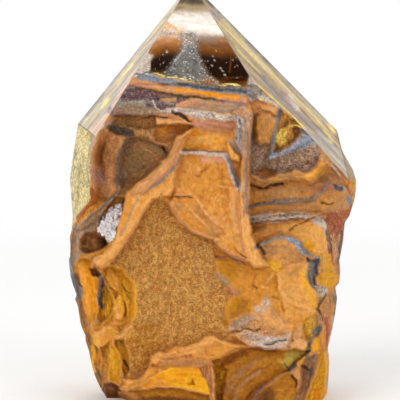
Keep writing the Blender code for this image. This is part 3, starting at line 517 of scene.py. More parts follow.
    ("scoop, foot", [(-27.6, 24), (-24.4, 25), (-21.6, 24.8), (-21.4, 22.6), (-23, 20.6), (-25.4, 20.4),
     (-27.2, 21)], "apricot", "saffron", "gritty"),
    ("yellow rib", [(-28.2, 19.8), (-26.2, 17.8), (-25.3, 14.6), (-25.2, 11), (-26, 8.6), (-28, 8.4),
     (-28.7, 11), (-28.6, 15)], "saffron", "mustard", "silky", -11.8, 0, 0, 1.4),
    ("brown groove", [(-26.6, 20.6), (-24.6, 20.4), (-23.2, 17), (-23, 12), (-24.2, 10.2), (-25.1, 12.6),
     (-25.2, 16), (-26.8, 19)], "ochre", "toffee", "silky", -12.2, 0, 0, 0.9),
    ("grey heel", [(-33.2, 13.2), (-30.9, 12.6), (-30.3, 8.8), (-31, 7), (-33, 9.6)], "ochre", "moss",
     "gritty"),
    # Painted shadow: the toe is toned dark brown for the shadow at the foot.
    ("toe", [(-31, 8.2), (-27.6, 8.4), (-26, 7.2), (-24.6, 5.4), (-25.6, 3.8), (-30, 3.8), (-31, 5.6)],
     "bronze", "treacle", "smooth", -5.4, 0.3, -0.4, 1),
    # The ledge at the foot.
    ("ledge, body", [(-25.8, 6.5), (-23.6, 8), (-19, 10), (-16.6, 14.5), (-12, 15.4), (-3, 14.9),
     (0.4, 14.2), (0.9, 8), (0.8, 1), (-1, 3.6), (-4, 5.4), (-8, 6.4), (-14, 6.7), (-20.4, 6)], "amber",
     "honey", "silky", -20.8, 0, 0, 0.8),
    ("ledge, top", [(-25.8, 6.5), (-23.6, 7.5), (-24.6, 9.4), (-20.2, 9.4), (-18.6, 10.6), (-17, 13.4),
     (-16.6, 16.2), (-14.4, 17.2), (-12.6, 16.8), (-10, 18.4), (-6.4, 18.9), (-4, 19.6), (-2.4, 20.9),
     (-1, 21.8), (0.4, 21.9), (3, 20.4), (6, 19.2), (10, 18.4), (7, 17.2), (3.4, 15.9), (0.6, 14.8),
     (-1, 13.4), (-3, 12.4), (-12, 12.6), (-15, 11.2), (-19.6, 7.4), (-20.4, 6.6)], "apricot", "amber",
     "silky", -19.6, 0, 0.42, 1.1),
    ("ledge, rosy tier", [(-13.4, 15.6), (-8, 15.5), (-3, 14.9), (0, 14.4), (-1.8, 12.6), (-6, 12.2),
     (-12, 12.4), (-14.6, 12.4)], "ochre", "clay", "silky", -21.2, 0, 0.2, 0.6),
    ("ledge, right slope", [(-1.4, 18), (2, 19.4), (6, 18.8), (9.8, 18.3), (6, 16.9), (2.6, 15.7),
     (-0.6, 14.8)], "honey", "amber", "silky", -18.4, 0.25, 0.2, 0.9),
    ("ledge, left flat", [(-25.6, 6.6), (-23.2, 7.6), (-19.6, 9.2), (-17.6, 11.6), (-16.4, 14),
     (-14.4, 13.4), (-15, 11.2), (-19.6, 7.6), (-20.4, 6.8)], "amber", "honey", "silky", -20.6, 0.1, 0.3,
     0.7),
    ("glowing wedge", [(-15.2, 11), (-12, 12.4), (-6, 12.7), (-3.4, 12.2), (-1.9, 10), (-1, 7.6),
     (-0.7, 5.3), (-4, 6), (-8, 7), (-14, 7.3), (-19.8, 6.9), (-17.4, 8.6)], "sun", "orange", "smooth",
     -20.9, 0, -0.16, 0.8),
    ("wedge, facet", [(-15.6, 9.6), (-10.8, 8.4), (-13, 7.6), (-17, 7.6)], "orange", "amber", "smooth",
     -21.3, 0, -0.1, 0.5),
    ("wedge, notch", [(-6.7, 7.8), (-5.3, 9.3), (-4.9, 8)], "orange", "mustard", "smooth", -19.9, 0, 0,
     0.5),
    ("ledge, end face", [(-3.4, 12.4), (-1, 13.4), (0.3, 13.8), (0.6, 8), (0.9, 2), (0.7, -2), (-1, -2),
     (-0.7, 5.2), (-1, 7.6), (-1.9, 10)], "clay", "amber", "fibrous", -20.4, 0.4, 0.05, 0.7),
    ("undercut", [(-26, 5.8), (-20.4, 6.4), (-14, 7.1), (-8, 6.8), (-4, 5.8), (-0.9, 5), (-0.9, -2),
     (-26, -2)], "toffee", "ochre", "silky", -16.6, 0, -0.35, 0.8),
    ("wide end of the vein", [(20.6, 73.8), (22.6, 75), (24.6, 77), (26.4, 77.6), (28.4, 75.6), (26, 74.2),
     (23.6, 73.2), (21.6, 72)], "mist", "steel", "veined"),
    ("rim by the right facet", [(33.2, 79.4), (33.7, 76.6), (34.3, 73.4), (35.4, 70.4), (36.9, 67),
     (39, 65.4), (44, 64.6), (44, 80), (34, 84)], "dun", "fog", "melted"),
    ("white corner of the facet", [(9.8, 88.6), (9.6, 90.8), (12.4, 91.6), (15.6, 91.6), (16, 88.8),
     (12.1, 87.6)], "dove", "fog", "sugary"),
    # The sunlit end of the ledge at the right.
    ("ledge, sunlit end", [(24, 65.5), (25.9, 67.1), (29.2, 67.7), (28.7, 65.8), (26.2, 63.8),
     (24.8, 64.4)], "apricot", "sun", "melted"),
]

# Faces of the polished front facet, the whole of it first, each with the width of its soft edge.
FACET_FACES = [
    ("front facet", [(-24, 93.4), (-17.5, 94.4), (-12, 92.9), (-5, 91.7), (0, 90.7), (5, 91), (8, 90.5),
     (10.6, 90.6), (12.2, 91.2), (15.6, 91.6), (11, 96), (-5, 125)], "hazel", "cocoa", "polished", 0.15),
    ("plum tip", [(-13, 116), (1, 116), (-0.2, 112.9), (-3.2, 112.5), (-9.7, 112.9)], "pewter", "hazel",
     "polished", 0.7),
    ("olive crown", [(-12.4, 112.9), (-9.7, 112.9), (-3.2, 112.5), (-0.2, 112.9), (1.6, 110.9),
     (-12.4, 110.6)], "horn", "hazel", "polished", 0.6),
    # Partly painted reflection: this pale tint backs up the white band that the strip's reflection makes.
    ("pale band under the mirrored strip", [(-12.4, 110.6), (0.9, 110.9), (3.4, 107), (5.4, 103.8), (2.8, 104.2), (-3.2, 104.8),
     (-7.6, 105.9), (-10.8, 106.9), (-13.6, 107.5)], "dove", "chalk", "polished", 0.9),
    ("speckled corner", [(-15, 106.5), (-12.7, 108.3), (-9.2, 106.4), (-7.6, 105.3), (-9.7, 104),
     (-12.5, 104.2), (-16.6, 102.6)], "dove", "apricot", "frosted", 1.1),
    ("left lens", [(-17.8, 99.4), (-16, 102.1), (-14.1, 104), (-11.9, 104.6), (-7.8, 104.2), (-7.6, 102.1),
     (-8.4, 100.2), (-9.7, 98.8), (-12.7, 98.6)], "toffee", "tan", "polished", 1.2),
    ("left lens, shade", [(-16.4, 100.6), (-12.5, 102), (-8, 101.6), (-9, 98.4), (-11, 96), (-17, 96)],
     "ember", "bronze", "polished", 1.6),
    ("left lens, dark", [(-16, 98.8), (-12.5, 99.9), (-8.8, 99.9), (-9.2, 98), (-10, 96.4), (-11.6, 94.4),
     (-14.9, 94), (-17, 94.4), (-17.1, 96.7)], "black", "black", "chipped", 1.2),
    ("right lens", [(-3.7, 103.2), (-2.1, 104.4), (3.9, 103.6), (8.6, 100.4), (11.4, 95), (10.8, 92),
     (9.6, 90.1), (6.6, 90.9), (1.7, 90.9), (-0.2, 92.6), (-1.6, 96.1), (-3.2, 98.8)], "bronze", "hazel",
     "polished", 1),
    ("right lens, glow", [(0.2, 102.4), (3.9, 103), (6.8, 101.3), (7.9, 99.6), (4.4, 99.6), (1, 100.4)],
     "bronze", "ochre", "polished", 1.2),
    ("right lens, shade", [(-4, 102), (0, 101.4), (4, 101), (9, 99.6), (11, 95), (8, 92), (-1, 92)],
     "ember", "shadow", "polished", 1.6),
    ("right lens, dark", [(-4, 99.6), (0.1, 99.2), (3.9, 98.8), (8.6, 98.4), (11.4, 94.8), (10.6, 91.8),
     (7, 91.6), (3.9, 92.4), (-0.5, 92.1), (-2, 95.6)], "black", "black", "chipped", 1.3),
    ("right lens, amber foot", [(1.7, 92.4), (7.2, 92.9), (9.8, 92.4), (9.5, 90.3), (4.4, 91.2), (2, 90.9)],
     "black", "ember", "polished", 1),
    ("frosty cone", [(-7.6, 104.6), (-5.4, 104.8), (-4, 103.6), (-3.7, 99.6), (-2.4, 96), (-0.7, 93.4),
     (1.2, 90.8), (-1, 90.4), (-14, 92.8), (-11.4, 96), (-8.9, 99.8), (-7.9, 102.6)], "frost", "pewter",
     "frosted", 1.2),
    ("cone, pale head", [(-8, 105), (-5, 105.2), (-3.6, 103.8), (-4.6, 101.6), (-7.4, 101.4)], "ash",
     "frost", "frosted", 1),
    ("cone, rosy toe", [(-3.7, 92), (-2.1, 93.1), (0.1, 93.1), (2, 91.8), (2, 90.7), (-3.2, 90.9)], "ash",
     "cocoa", "frosted", 0.8),
    ("frosty left corner", [(-22, 94.2), (-21, 96.1), (-17.8, 99.6), (-16, 99.1), (-16.8, 97.2),
     (-16.8, 95), (-17.9, 93.9)], "dove", "fog", "frosted", 0.4),
    ("frosty right corner", [(10.4, 95), (12.1, 95), (14.4, 92), (15.8, 88.8), (12.1, 87.6), (9.9, 88.5),
     (9.6, 90), (10.2, 92.3)], "fog", "dove", "frosted", 0.4),
]
FRONT_FACET = FACET_FACES[0][1]

# Bands, veins, cracks and folds, with a few painted shadow and light lines: name, points, width, tone,
# finish, and how far it stands out.
LINES = [
    ("pale blue corner", [(-22.6, 94), (-19, 93.6), (-16.4, 93.2)], 1.5, "ice", "veined", 0),
    ("blue grey band", [(-19.5, 93.2), (-16, 92.6), (-10, 91.3), (-5, 90.6), (0, 89.8), (6, 89.6), (9, 89),
     (11, 88)], 1.7, "steel", "veined", 0.1),
    ("slate core", [(-9, 91.2), (-5, 90.5), (0, 90), (6, 89.6), (9.4, 88.8)], 0.8, "slate", "veined", 0),
    ("orange band", [(-23.4, 92.2), (-19, 91.4), (-14, 90.2), (-8, 89.2), (-2, 88.3), (4, 87.6),
     (9.6, 86.6)], 1.7, "rose", "smooth", 0.35),
    ("orange band, bright", [(-9.6, 89.6), (-7, 89.2), (-2, 88.5), (4, 87.9), (7, 87.3)], 1.1, "orange",
     "silky", 0.1),
    ("pink edge of the band", [(-21, 91.1), (-16, 90)], 0.5, "pink", "smooth", 0),
    ("olive line", [(-20.4, 90.1), (-14, 88.9), (-8, 87.9), (-3, 87.3), (3, 86.6)], 0.6, "moss", "smooth",
     -0.4),
    ("dusky line", [(1, 86.9), (5, 86.2), (9.6, 85.6)], 0.5, "mauve", "smooth", -0.2),
    # Painted shadow line along the top edge of the left hollow.
    ("shelf line", [(-27, 82.5), (-20, 82.5), (-16, 82.4), (-12, 82.2)], 0.35, "umber", "smooth", -0.5),
    ("shelf line, lower", [(-25.6, 84.6), (-19, 85)], 0.3, "cocoa", "smooth", -0.3),
    ("white lip in the purple", [(-16.2, 86.4), (-15.4, 84.8), (-14, 83.9), (-12.6, 84.2)], 0.4, "chalk",
     "sugary", 0.3),
    ("grey vein in the hollow", [(-23.4, 77), (-24.4, 74), (-25.6, 71), (-26, 67), (-25.6, 63)], 1.2, "ash",
     "powdery", 0.3),
    ("left rim, rosy", [(-26.6, 81.6), (-29.6, 79.6), (-32, 76.6), (-33, 73.4), (-33.3, 70.4)], 0.9,
     "blush", "smooth", 0.1),
    ("grey vein, rosy edge", [(-22.6, 76.6), (-22.4, 74.4), (-24.2, 72.6)], 0.6, "mauve", "sugary", 0.2),
    ("grey shelf of the hollow", [(-25.4, 63), (-26.4, 60.6), (-29.4, 58), (-33.4, 54.6), (-37, 51.8),
     (-40, 50.4)], 1.3, "dun", "gritty", 0.9),
    ("hollow, hairline", [(-18.6, 73.4), (-16.4, 72.6), (-14.8, 71), (-13.6, 70.2)], 0.28, "peach",
     "smooth", 0.2),
    ("hollow, upper fold", [(-17.6, 78.6), (-16.8, 76.8), (-15.6, 75.2), (-12.8, 74.9), (-10, 75.2)], 0.35,
     "rose", "smooth", 0.3),
    ("hollow, slot", [(-13.5, 73.9), (-12.2, 72.2)], 0.7, "umber", "smooth", -0.8),
    ("hollow, rosy lower rim", [(-24.6, 62.8), (-21, 64.6), (-17, 67.6), (-13.4, 71.4)], 0.7, "clay",
     "smooth", 0.3),
    ("rib stripe", [(-8.1, 72.4), (-9.4, 69.8), (-11.4, 67), (-14, 64.6), (-17, 62.5)], 0.6, "steel",
     "veined", 0.15),
    ("rib stripe, faint", [(-17, 62.5), (-19.4, 60.4)], 0.4, "mauve", "smooth", 0),
    ("rib stripe, lower", [(-20.2, 59.6), (-21.6, 57.4), (-22.4, 55), (-23.8, 52.6), (-25.2, 49.4)], 0.45,
     "dun", "silky", -0.1),
    ("rib, pale lower rim", [(-10.4, 58.4), (-12.4, 59.3), (-15.2, 59.9), (-17.2, 58.6), (-18.8, 56)], 0.5,
     "apricot", "smooth", 0.4),
    ("rib, lower rim", [(-18.8, 56), (-21.4, 51), (-24.4, 46.4), (-28, 42), (-30, 40.6)], 0.5, "peach",
     "smooth", 0.3),
    ("rib, crack", [(-15, 59.6), (-13.6, 61.2)], 0.25, "umber", "smooth", -0.3),
    ("rib, pocket edge", [(-24.3, 59.6), (-24.3, 57.4)], 0.4, "umber", "smooth", -0.4),
    ("white seam", [(-8, 72.4), (-6, 72.6), (-3, 72.2), (0, 71.9), (3.4, 72.1)], 0.9, "chalk", "veined",
     0.5),
    ("seam, dark top", [(-7.6, 73.2), (-5, 73.2), (-1, 72.7), (3.6, 72.9)], 0.35, "lead", "smooth", -0.2),
    ("seam, turning down", [(3.6, 71.6), (4.6, 69.4), (5.8, 66.6), (6.6, 64), (7.8, 62.4)], 1.7, "ice",
     "veined", 0.8),
    ("seam, white core", [(5.2, 68), (6, 65.6), (6.6, 64)], 0.6, "ice", "veined", 0.1),
    ("shell, pale step", [(-10, 60.7), (-8, 60.8), (-5.8, 60.8)], 0.35, "pink", "smooth", 0.4),
    ("shell, shade under step", [(-10, 60.1), (-8, 60.1), (-5.4, 60.1)], 0.3, "cocoa", "smooth", -0.5),
    ("shell, pale nick", [(1.6, 63.3), (3.4, 63.1), (5, 62.4)], 0.35, "peach", "smooth", 0.5),
    ("shell, old crack", [(-4.4, 66.2), (-3.4, 66), (-2.6, 67.2), (-1, 68.4)], 0.28, "toffee", "smooth",
     -0.4),
    ("shell, fold", [(-4, 59.6), (-2.4, 56.8), (0.4, 53.6), (3, 51.6)], 0.5, "peach", "smooth", 0.5),
    ("shell, second fold", [(-7, 58), (-4.4, 55), (-1, 52)], 0.4, "peach", "smooth", 0.3),
    ("shell, lip", [(-11.4, 58.4), (-10.4, 56), (-8.2, 53.4), (-5, 51), (-1, 49.3), (1.6, 48)], 0.8,
     "peach", "smooth", 0.4),
    ("shell, tail", [(1.6, 48), (3.6, 45.6), (6, 44), (9, 42.8)], 0.7, "tan", "smooth", 0.4),
    ("tail, groove", [(6, 46.4), (7.2, 45), (9.6, 43.4)], 0.3, "toffee", "smooth", -0.4),
    ("plate, bright left edge", [(8.4, 70), (8.2, 66), (8.1, 61), (8.4, 56), (8.8, 51), (10, 46),
     (12, 41.6)], 0.5, "apricot", "smooth", 0.3),
    ("plate, grey vein", [(9.2, 82), (9.3, 76), (9.2, 70), (9, 65), (9.4, 60), (9.9, 56)], 0.7, "ash",
     "gritty", 0),
    ("plate, dark vein", [(9.9, 79), (9.9, 73), (9.7, 68), (9.6, 63)], 0.25, "cocoa", "smooth", -0.2),
    ("seam, wine bead", [(7.5, 81.6), (7.5, 80.4)], 0.7, "wine", "sugary", 0.2),
    ("seam, dark bead", [(6.9, 76.8), (7, 75.8)], 0.5, "wine", "smooth", -0.2),
    ("corner vein, left", [(18.7, 85), (18.2, 82), (17.6, 79), (16.8, 75), (15.9, 71)], 1.1, "steel",
     "veined", 0.7),
    ("corner vein, right", [(15.9, 71), (18.4, 71.8), (21, 73.2), (24, 75), (26.6, 76.6), (28.4, 75)], 1.4,
     "mist", "veined", 0.7),
    ("corner vein, upper", [(24.8, 78.6), (26.2, 77.6), (28, 76)], 1.1, "lead", "veined", 0.4),
    ("corner vein, white toe", [(15.9, 70.9), (17.4, 70.9)], 0.5, "ice", "veined", 0.4),
    ("window, gold rim", [(21.6, 79.8), (23, 80), (24.4, 79.4)], 0.5, "gold", "golden", 0.3),
    ("facet rim, gold", [(13, 90.6), (16, 88.5), (19, 85.8), (22, 82.9), (24, 80.6)], 0.4, "apricot",
     "golden", 0),
    ("facet rim, peach", [(14, 88.9), (17, 87), (20.4, 83.6), (22.6, 81.8)], 0.4, "peach", "smooth", 0),
    ("facet rim, black bead", [(22.6, 81.9), (23, 81.2)], 0.5, "soot", "smooth", 0),
    ("facet rim, lower", [(25, 79.4), (28.4, 76), (31.6, 72.4), (34.8, 68.6)], 0.4, "horn", "polished", 0),
    ("black seam", [(10.4, 63.7), (12.4, 62.9), (14.4, 62.6), (16.4, 63.7), (19.4, 64)], 0.7, "umber",
     "gritty", -0.4),
    ("ledge, upper peach", [(14.6, 64.4), (17, 65), (19.6, 65.4)], 0.5, "apricot", "smooth", 0.2),
    ("upper grey band", [(10.6, 57.7), (14, 58.3), (18, 58.9), (22, 59.2), (26, 59.5), (28.6, 60.3)], 1.3,
     "ash", "gritty", 0.3),
    ("upper grey band, tail", [(28.6, 60.3), (30.6, 62.2), (32.4, 64.6)], 0.8, "ash", "veined", 0.3),
    ("upper band, dark run", [(12, 57.9), (15, 58.4), (17, 58.8)], 0.6, "lead", "gritty", 0),
    ("lower grey band", [(10.6, 54), (14, 54.4), (18, 55.1), (22, 55.5), (26, 55.6)], 0.8, "ash", "sugary",
     0.3),
    ("lower band, pale core", [(12, 54.3), (15, 54.6), (18, 55.1)], 0.4, "dove", "sugary", 0.1),
    ("band, brown shade", [(11, 53), (15, 53.4), (20, 53.9), (25, 54.4)], 0.7, "cocoa", "gritty", -0.3),
    ("long crack", [(21.4, 50.9), (23.6, 52.2), (26, 53.6), (28, 54.6), (30.2, 55.3), (32.6, 55.6)], 0.26,
     "shadow", "smooth", -0.5),
    ("short crack", [(30.2, 58.6), (32, 58), (33.6, 58.4)], 0.3, "shadow", "smooth", -0.4),
    ("dome arc", [(12.4, 46.2), (14.2, 47.6), (16.8, 48.9), (19.8, 49.3), (21.8, 48.9)], 1.2, "fog",
     "veined", 0.5),
    ("dome arc, bright", [(20.6, 49.1), (22.6, 48.5), (23.8, 47), (24.6, 45.4), (26, 44.6)], 1.5, "mist",
     "veined", 0.5),
    ("dome arc, tail", [(26, 44.6), (28, 44), (30, 43.4)], 0.6, "fog", "veined", 0.4),
    ("dome arc, dark start", [(13, 46.8), (14, 45.6), (14.6, 44.6)], 1, "moss", "gritty", 0),
    ("side seam", [(31.6, 51), (32.4, 48.6), (32.9, 46.6), (32.6, 44.8)], 0.8, "lead", "gritty", -0.2),
    ("rust streak", [(31.6, 47), (33, 44.4), (33.8, 41.4)], 0.45, "brick", "smooth", 0),
    ("side, rosy run", [(33.7, 50), (34.1, 46.1), (34.1, 43.3)], 0.9, "peach", "sugary", 0.2),
    ("side, outer grey run", [(35.9, 50.6), (36, 48.6), (35.4, 46.4), (35.2, 44.3), (34.9, 42.2)], 0.6,
     "slate", "gritty", -0.1),
    ("side, outer gold run", [(35.6, 40), (35.8, 36), (35, 32)], 0.6, "orange", "gritty", 0.1),
    ("side, outer grey, lower", [(34.6, 33), (35, 30), (34.2, 27.6)], 0.7, "lead", "sugary", 0),
    ("side, burnt lens", [(32.2, 25), (32.3, 21.6), (31.8, 19)], 0.8, "rust", "gritty", -0.3),
    ("side, pink run", [(33.3, 24), (32.9, 19), (32.3, 15.6)], 0.6, "pink", "sugary", 0.1),
    ("dark corner", [(33.8, 63.2), (35.6, 62.2)], 1.3, "slate", "smooth", 0),
    ("corner crystals", [(37.4, 60.4), (38.4, 58.2)], 0.9, "steel", "sugary", 0.2),
    ("side streak, rust", [(33.6, 69.4), (35.8, 66.4), (37.4, 63.4), (38.6, 60.6)], 0.7, "rust", "fibrous",
     0.2),
    ("side streak, pale", [(32.8, 69.4), (34.8, 66.6), (36.2, 63.8), (37, 61.4)], 0.5, "dove", "smooth",
     0.2),
    ("swell, ridge", [(18.6, 39), (18.8, 35), (20.4, 32.4), (23.6, 30.2), (28.4, 28.8)], 0.9, "apricot",
     "smooth", 0.5),
    ("swell, shade by ridge", [(17.8, 38), (17.8, 34.6), (19, 31.6), (20, 28.6)], 0.7, "honey", "smooth",
     -0.4),
    ("swell, leaf", [(13.4, 38.8), (12, 37.6), (11.4, 36), (12.6, 35)], 0.4, "toffee", "smooth", -0.3),
    ("swell, second leaf", [(16.8, 38.6), (15.4, 37), (14, 35.4), (15.6, 35.2)], 0.4, "peach", "smooth",
     0.3),
    ("swell, far scratch", [(16.8, 32.6), (18.6, 32)], 0.25, "cocoa", "smooth", -0.2),
    ("swell, upper edge", [(1.4, 44), (4.6, 43.9), (6.6, 42.8), (9, 42)], 0.4, "mauve", "smooth", -0.3),
    ("swell, lower fold", [(20.4, 26.6), (23, 26.2), (26, 26.8), (28.8, 28.2)], 0.5, "amber", "smooth",
     0.3),
    ("swell, pale fold", [(15.2, 26.4), (17, 25), (19.6, 23.6)], 1.1, "apricot", "silky", 0.2),
    ("crust, dark crack", [(15, 19.2), (17, 19.4), (19, 20.2), (21, 20.6)], 0.3, "umber", "smooth", -0.5),
    ("crust, upper crack", [(7, 22.9), (9.4, 23.6), (11.6, 22.8), (13.6, 23.4)], 0.3, "moss", "smooth",
     -0.4),
    # Painted shadow line along the top of the foot hollow, under its roof.
    ("roof line", [(4, 16.6), (7, 17.8), (10.4, 18.1), (14, 17.6), (18, 17.4)], 0.5, "toffee", "smooth",
     -0.6),
    ("hollow, first fold", [(3.4, 13.8), (6.4, 15.6), (9.6, 16.8)], 1.4, "toffee", "silky", -0.3),
    ("hollow, second fold", [(10.2, 10.4), (12.4, 12), (14.6, 12.8), (16.6, 13.8)], 0.3, "toffee", "smooth",
     -0.4),
    ("hollow, third fold", [(4.4, 6), (6.4, 9.4), (9.4, 12.6), (13, 14.6)], 1.8, "tan", "silky", 0.3),
    ("hollow, lit fold", [(6, 3), (7.4, 6.6), (10, 9.4), (13, 11.4)], 1.5, "tan", "silky", 0.4),
    ("hollow, low fold", [(9, 0), (9.8, 3.6), (12, 6.6), (14.6, 8.8)], 1.3, "toffee", "silky", -0.3),
    ("hollow, olive run", [(13, 13.6), (16.4, 15), (19.6, 15.8)], 2.2, "honey", "silky", 0.1),
    ("oblique vein", [(27.2, 17.2), (24.4, 15), (21.6, 12.7), (19.6, 10.9)], 0.5, "moss", "gritty", -0.3),
    ("oblique vein, grey", [(23.4, 13.6), (21.2, 11.9)], 0.8, "slate", "gritty", 0),
    ("oblique vein, rosy", [(19.6, 10.6), (17, 8.9), (14.6, 7.4)], 0.7, "rose", "gritty", 0.3),
    ("oblique vein, low", [(14.6, 7.4), (13, 6), (12, 4)], 0.9, "mauve", "gritty", 0.2),
    ("block, crack", [(22.4, 10.8), (23.4, 9.2), (23.3, 7.4)], 0.4, "shadow", "smooth", -0.5),
    ("roof crack", [(20.4, 13.9), (21.6, 12.3)], 0.35, "shadow", "smooth", -0.5),
    ("dyke, dark eye", [(25.4, 13.2), (27, 12)], 1, "umber", "silky", -0.2),
    ("edge vein", [(31.6, 33), (30.2, 31.2), (29.2, 29.4), (30.4, 27.4), (31, 26)], 0.45, "umber", "gritty",
     -0.3),
    ("edge vein, lower", [(30, 24), (29.4, 22), (28, 20.6), (27.2, 19.2), (26.8, 17)], 1.2, "frost",
     "gritty", 0.2),
    ("edge vein, pale core", [(28, 22.2), (29.2, 23.8)], 0.9, "lead", "veined", 0.2),
    ("edge vein, foot", [(26.8, 17), (26.4, 16), (27.6, 15)], 0.6, "ash", "gritty", 0),
    ("edge, ochre run", [(27.4, 16.8), (29, 17), (30.4, 17.6)], 0.5, "ochre", "smooth", 0.2),
    ("flank stripe", [(-31.3, 38.6), (-30.6, 36.4), (-30.9, 33.4), (-30.7, 31), (-30.2, 29.4)], 1.2,
     "slate", "gritty", -0.2),
    ("flank stripe, pale edge", [(-31.6, 34), (-31.4, 31), (-31.2, 28.4)], 0.35, "rose", "smooth", 0.2),
    # Painted light along the lit outer rim of the scoop.
    ("scoop, bright rim", [(-28, 41.2), (-24.6, 40), (-22, 37), (-20.9, 33), (-20.9, 29), (-22, 25.6)], 0.9,
     "saffron", "silky", 0.4),
    ("scoop, bright fold", [(-26.2, 29.6), (-26, 27), (-27.2, 25), (-29.4, 23.6), (-31.6, 22)], 1.4,
     "apricot", "silky", 0.3),
    ("scoop, slot", [(-24.3, 31.4), (-23.8, 29.4), (-24.2, 27.2)], 0.35, "treacle", "smooth", -0.6),
    # Painted shadow inside the right edge of the scoop, over a shallow groove.
    ("scoop, upper slot", [(-24.8, 36), (-23.6, 34.2), (-22.6, 33.4)], 0.35, "toffee", "smooth", -0.4),
    ("scoop, lit fold", [(-23.2, 33.6), (-24.6, 33.2), (-23.4, 30.4), (-23.2, 27.6)], 0.7, "saffron",
     "silky", 0.4),
    ("knuckle, fold", [(-25.4, 22.6), (-27.4, 24), (-28.2, 22.4)], 0.6, "honey", "silky", 0.2),
    ("strip, left rim", [(-33, 18.4), (-32.8, 16), (-33.2, 13.6), (-32.4, 11.6)], 0.9, "saffron", "silky",
     0.3),
    ("rib, inner edge", [(-29.4, 19.2), (-28.6, 16), (-28.7, 12), (-28.4, 9)], 0.4, "honey", "smooth", 0.2),
    ("groove, cracks", [(-24.4, 14.6), (-23.8, 13.2), (-23.2, 12.2)], 0.45, "soot", "smooth", -0.5),
    ("toe, pale rim", [(-30.2, 8), (-30.6, 6), (-29.8, 4.6)], 0.3, "peach", "smooth", 0.1),
    ("ledge, first shade", [(-13.2, 15), (-9, 15.2), (-5.6, 15.9)], 0.3, "brick", "smooth", -0.5),
    # Painted light along the lit top of the ledge.
    ("ledge, bright top", [(-2, 21.2), (0.4, 21.3), (3.4, 19.8), (7.6, 18.6)], 0.8, "apricot", "smooth",
     0.3),
    ("ledge, second fold", [(-11, 18), (-9.4, 16.4), (-8.6, 15.2)], 0.35, "peach", "smooth", 0.3),
    ("ledge, third fold", [(-8.4, 18.6), (-7, 17), (-6.2, 15.8)], 0.35, "peach", "smooth", 0.3),
    ("ledge, left fold", [(-16.6, 16), (-14.8, 14.8), (-13, 14.4)], 0.4, "peach", "smooth", 0.4),
    ("ledge, left shade", [(-16.8, 13.4), (-14.6, 12.9), (-12.4, 13.2)], 0.35, "clay", "smooth", -0.3),
    ("wedge, bright edge", [(-25.2, 6.3), (-19.4, 6.5), (-14, 7.3), (-9, 7), (-4, 6), (-0.9, 5)], 0.4,
     "apricot", "smooth", 0.3),
    ("undercut, shade", [(-19, 5.2), (-13, 5.6), (-7, 5.4), (-2, 3.8)], 1.2, "ochre", "silky", 0),
    # Painted shade deep under the ledge's overhang.
    ("undercut, deep", [(-20, 3.4), (-13, 3.6), (-6, 3), (-1.4, 1.6)], 1.6, "treacle", "silky", 0),
    ("end face, pale edge", [(0.2, 12.4), (0.3, 8), (0.5, 3), (0.6, 0)], 0.4, "peach", "smooth", 0.3),
]

# Lines on the polished front facet: name, points, width and tone.
FACET_LINES = [
    # Painted highlight: the cream hairlines along the foot of the facet stand for the bright reflection on
    # its bevel.
    ("gold hairline, dark bed", [(-16.1, 93.5), (-12.3, 92.4), (-7.6, 91.9), (-2.8, 90.6)], 0.5, "moss"),
    ("gold hairline", [(-16.1, 93.9), (-14, 93.7), (-12.3, 92.9), (-7.6, 92.3), (-5.2, 91.7), (-1.1, 90.4)],
     0.5, "cream"),
    ("gold hairline, right", [(1.2, 90.3), (2.3, 90.7), (3.9, 91.1), (5.2, 91.2), (6.9, 90.9), (8.9, 90)],
     0.55, "cream"),
    ("amber beam", [(5, 101), (5, 98.3), (4.9, 94.4)], 0.28, "bronze"),
    ("facet edge, peach", [(-22.4, 95.2), (-18, 101), (-13, 107.6), (-10, 112)], 0.6, "dun"),
    ("facet edge, right", [(4.6, 104.4), (8, 99.8), (10.4, 96)], 0.4, "rose"),
]

# White chips and little rings in the black lenses: (across, up, size).
CHIPS = [
    (-12.3, 100, 0.4), (-11.2, 97.1, 0.3), (-13.3, 97.2, 0.2), (-14, 96.4, 0.25), (-9.2, 102.3, 0.3),
    (-8.9, 103.7, 0.3), (-4.3, 103.3, 0.55), (-10.6, 95.4, 0.4), (-7.9, 94.9, 0.4), (-7.3, 93, 0.5),
    (-5.7, 93.4, 0.35), (0.7, 97.7, 0.4), (0.3, 98.9, 0.25), (0.1, 96.2, 0.35), (2.1, 95.6, 0.45),
    (2.8, 94.8, 0.4), (3.6, 93.8, 0.45), (1.3, 100.2, 0.25), (5.5, 97.7, 0.2), (6.9, 96.4, 0.2),
]

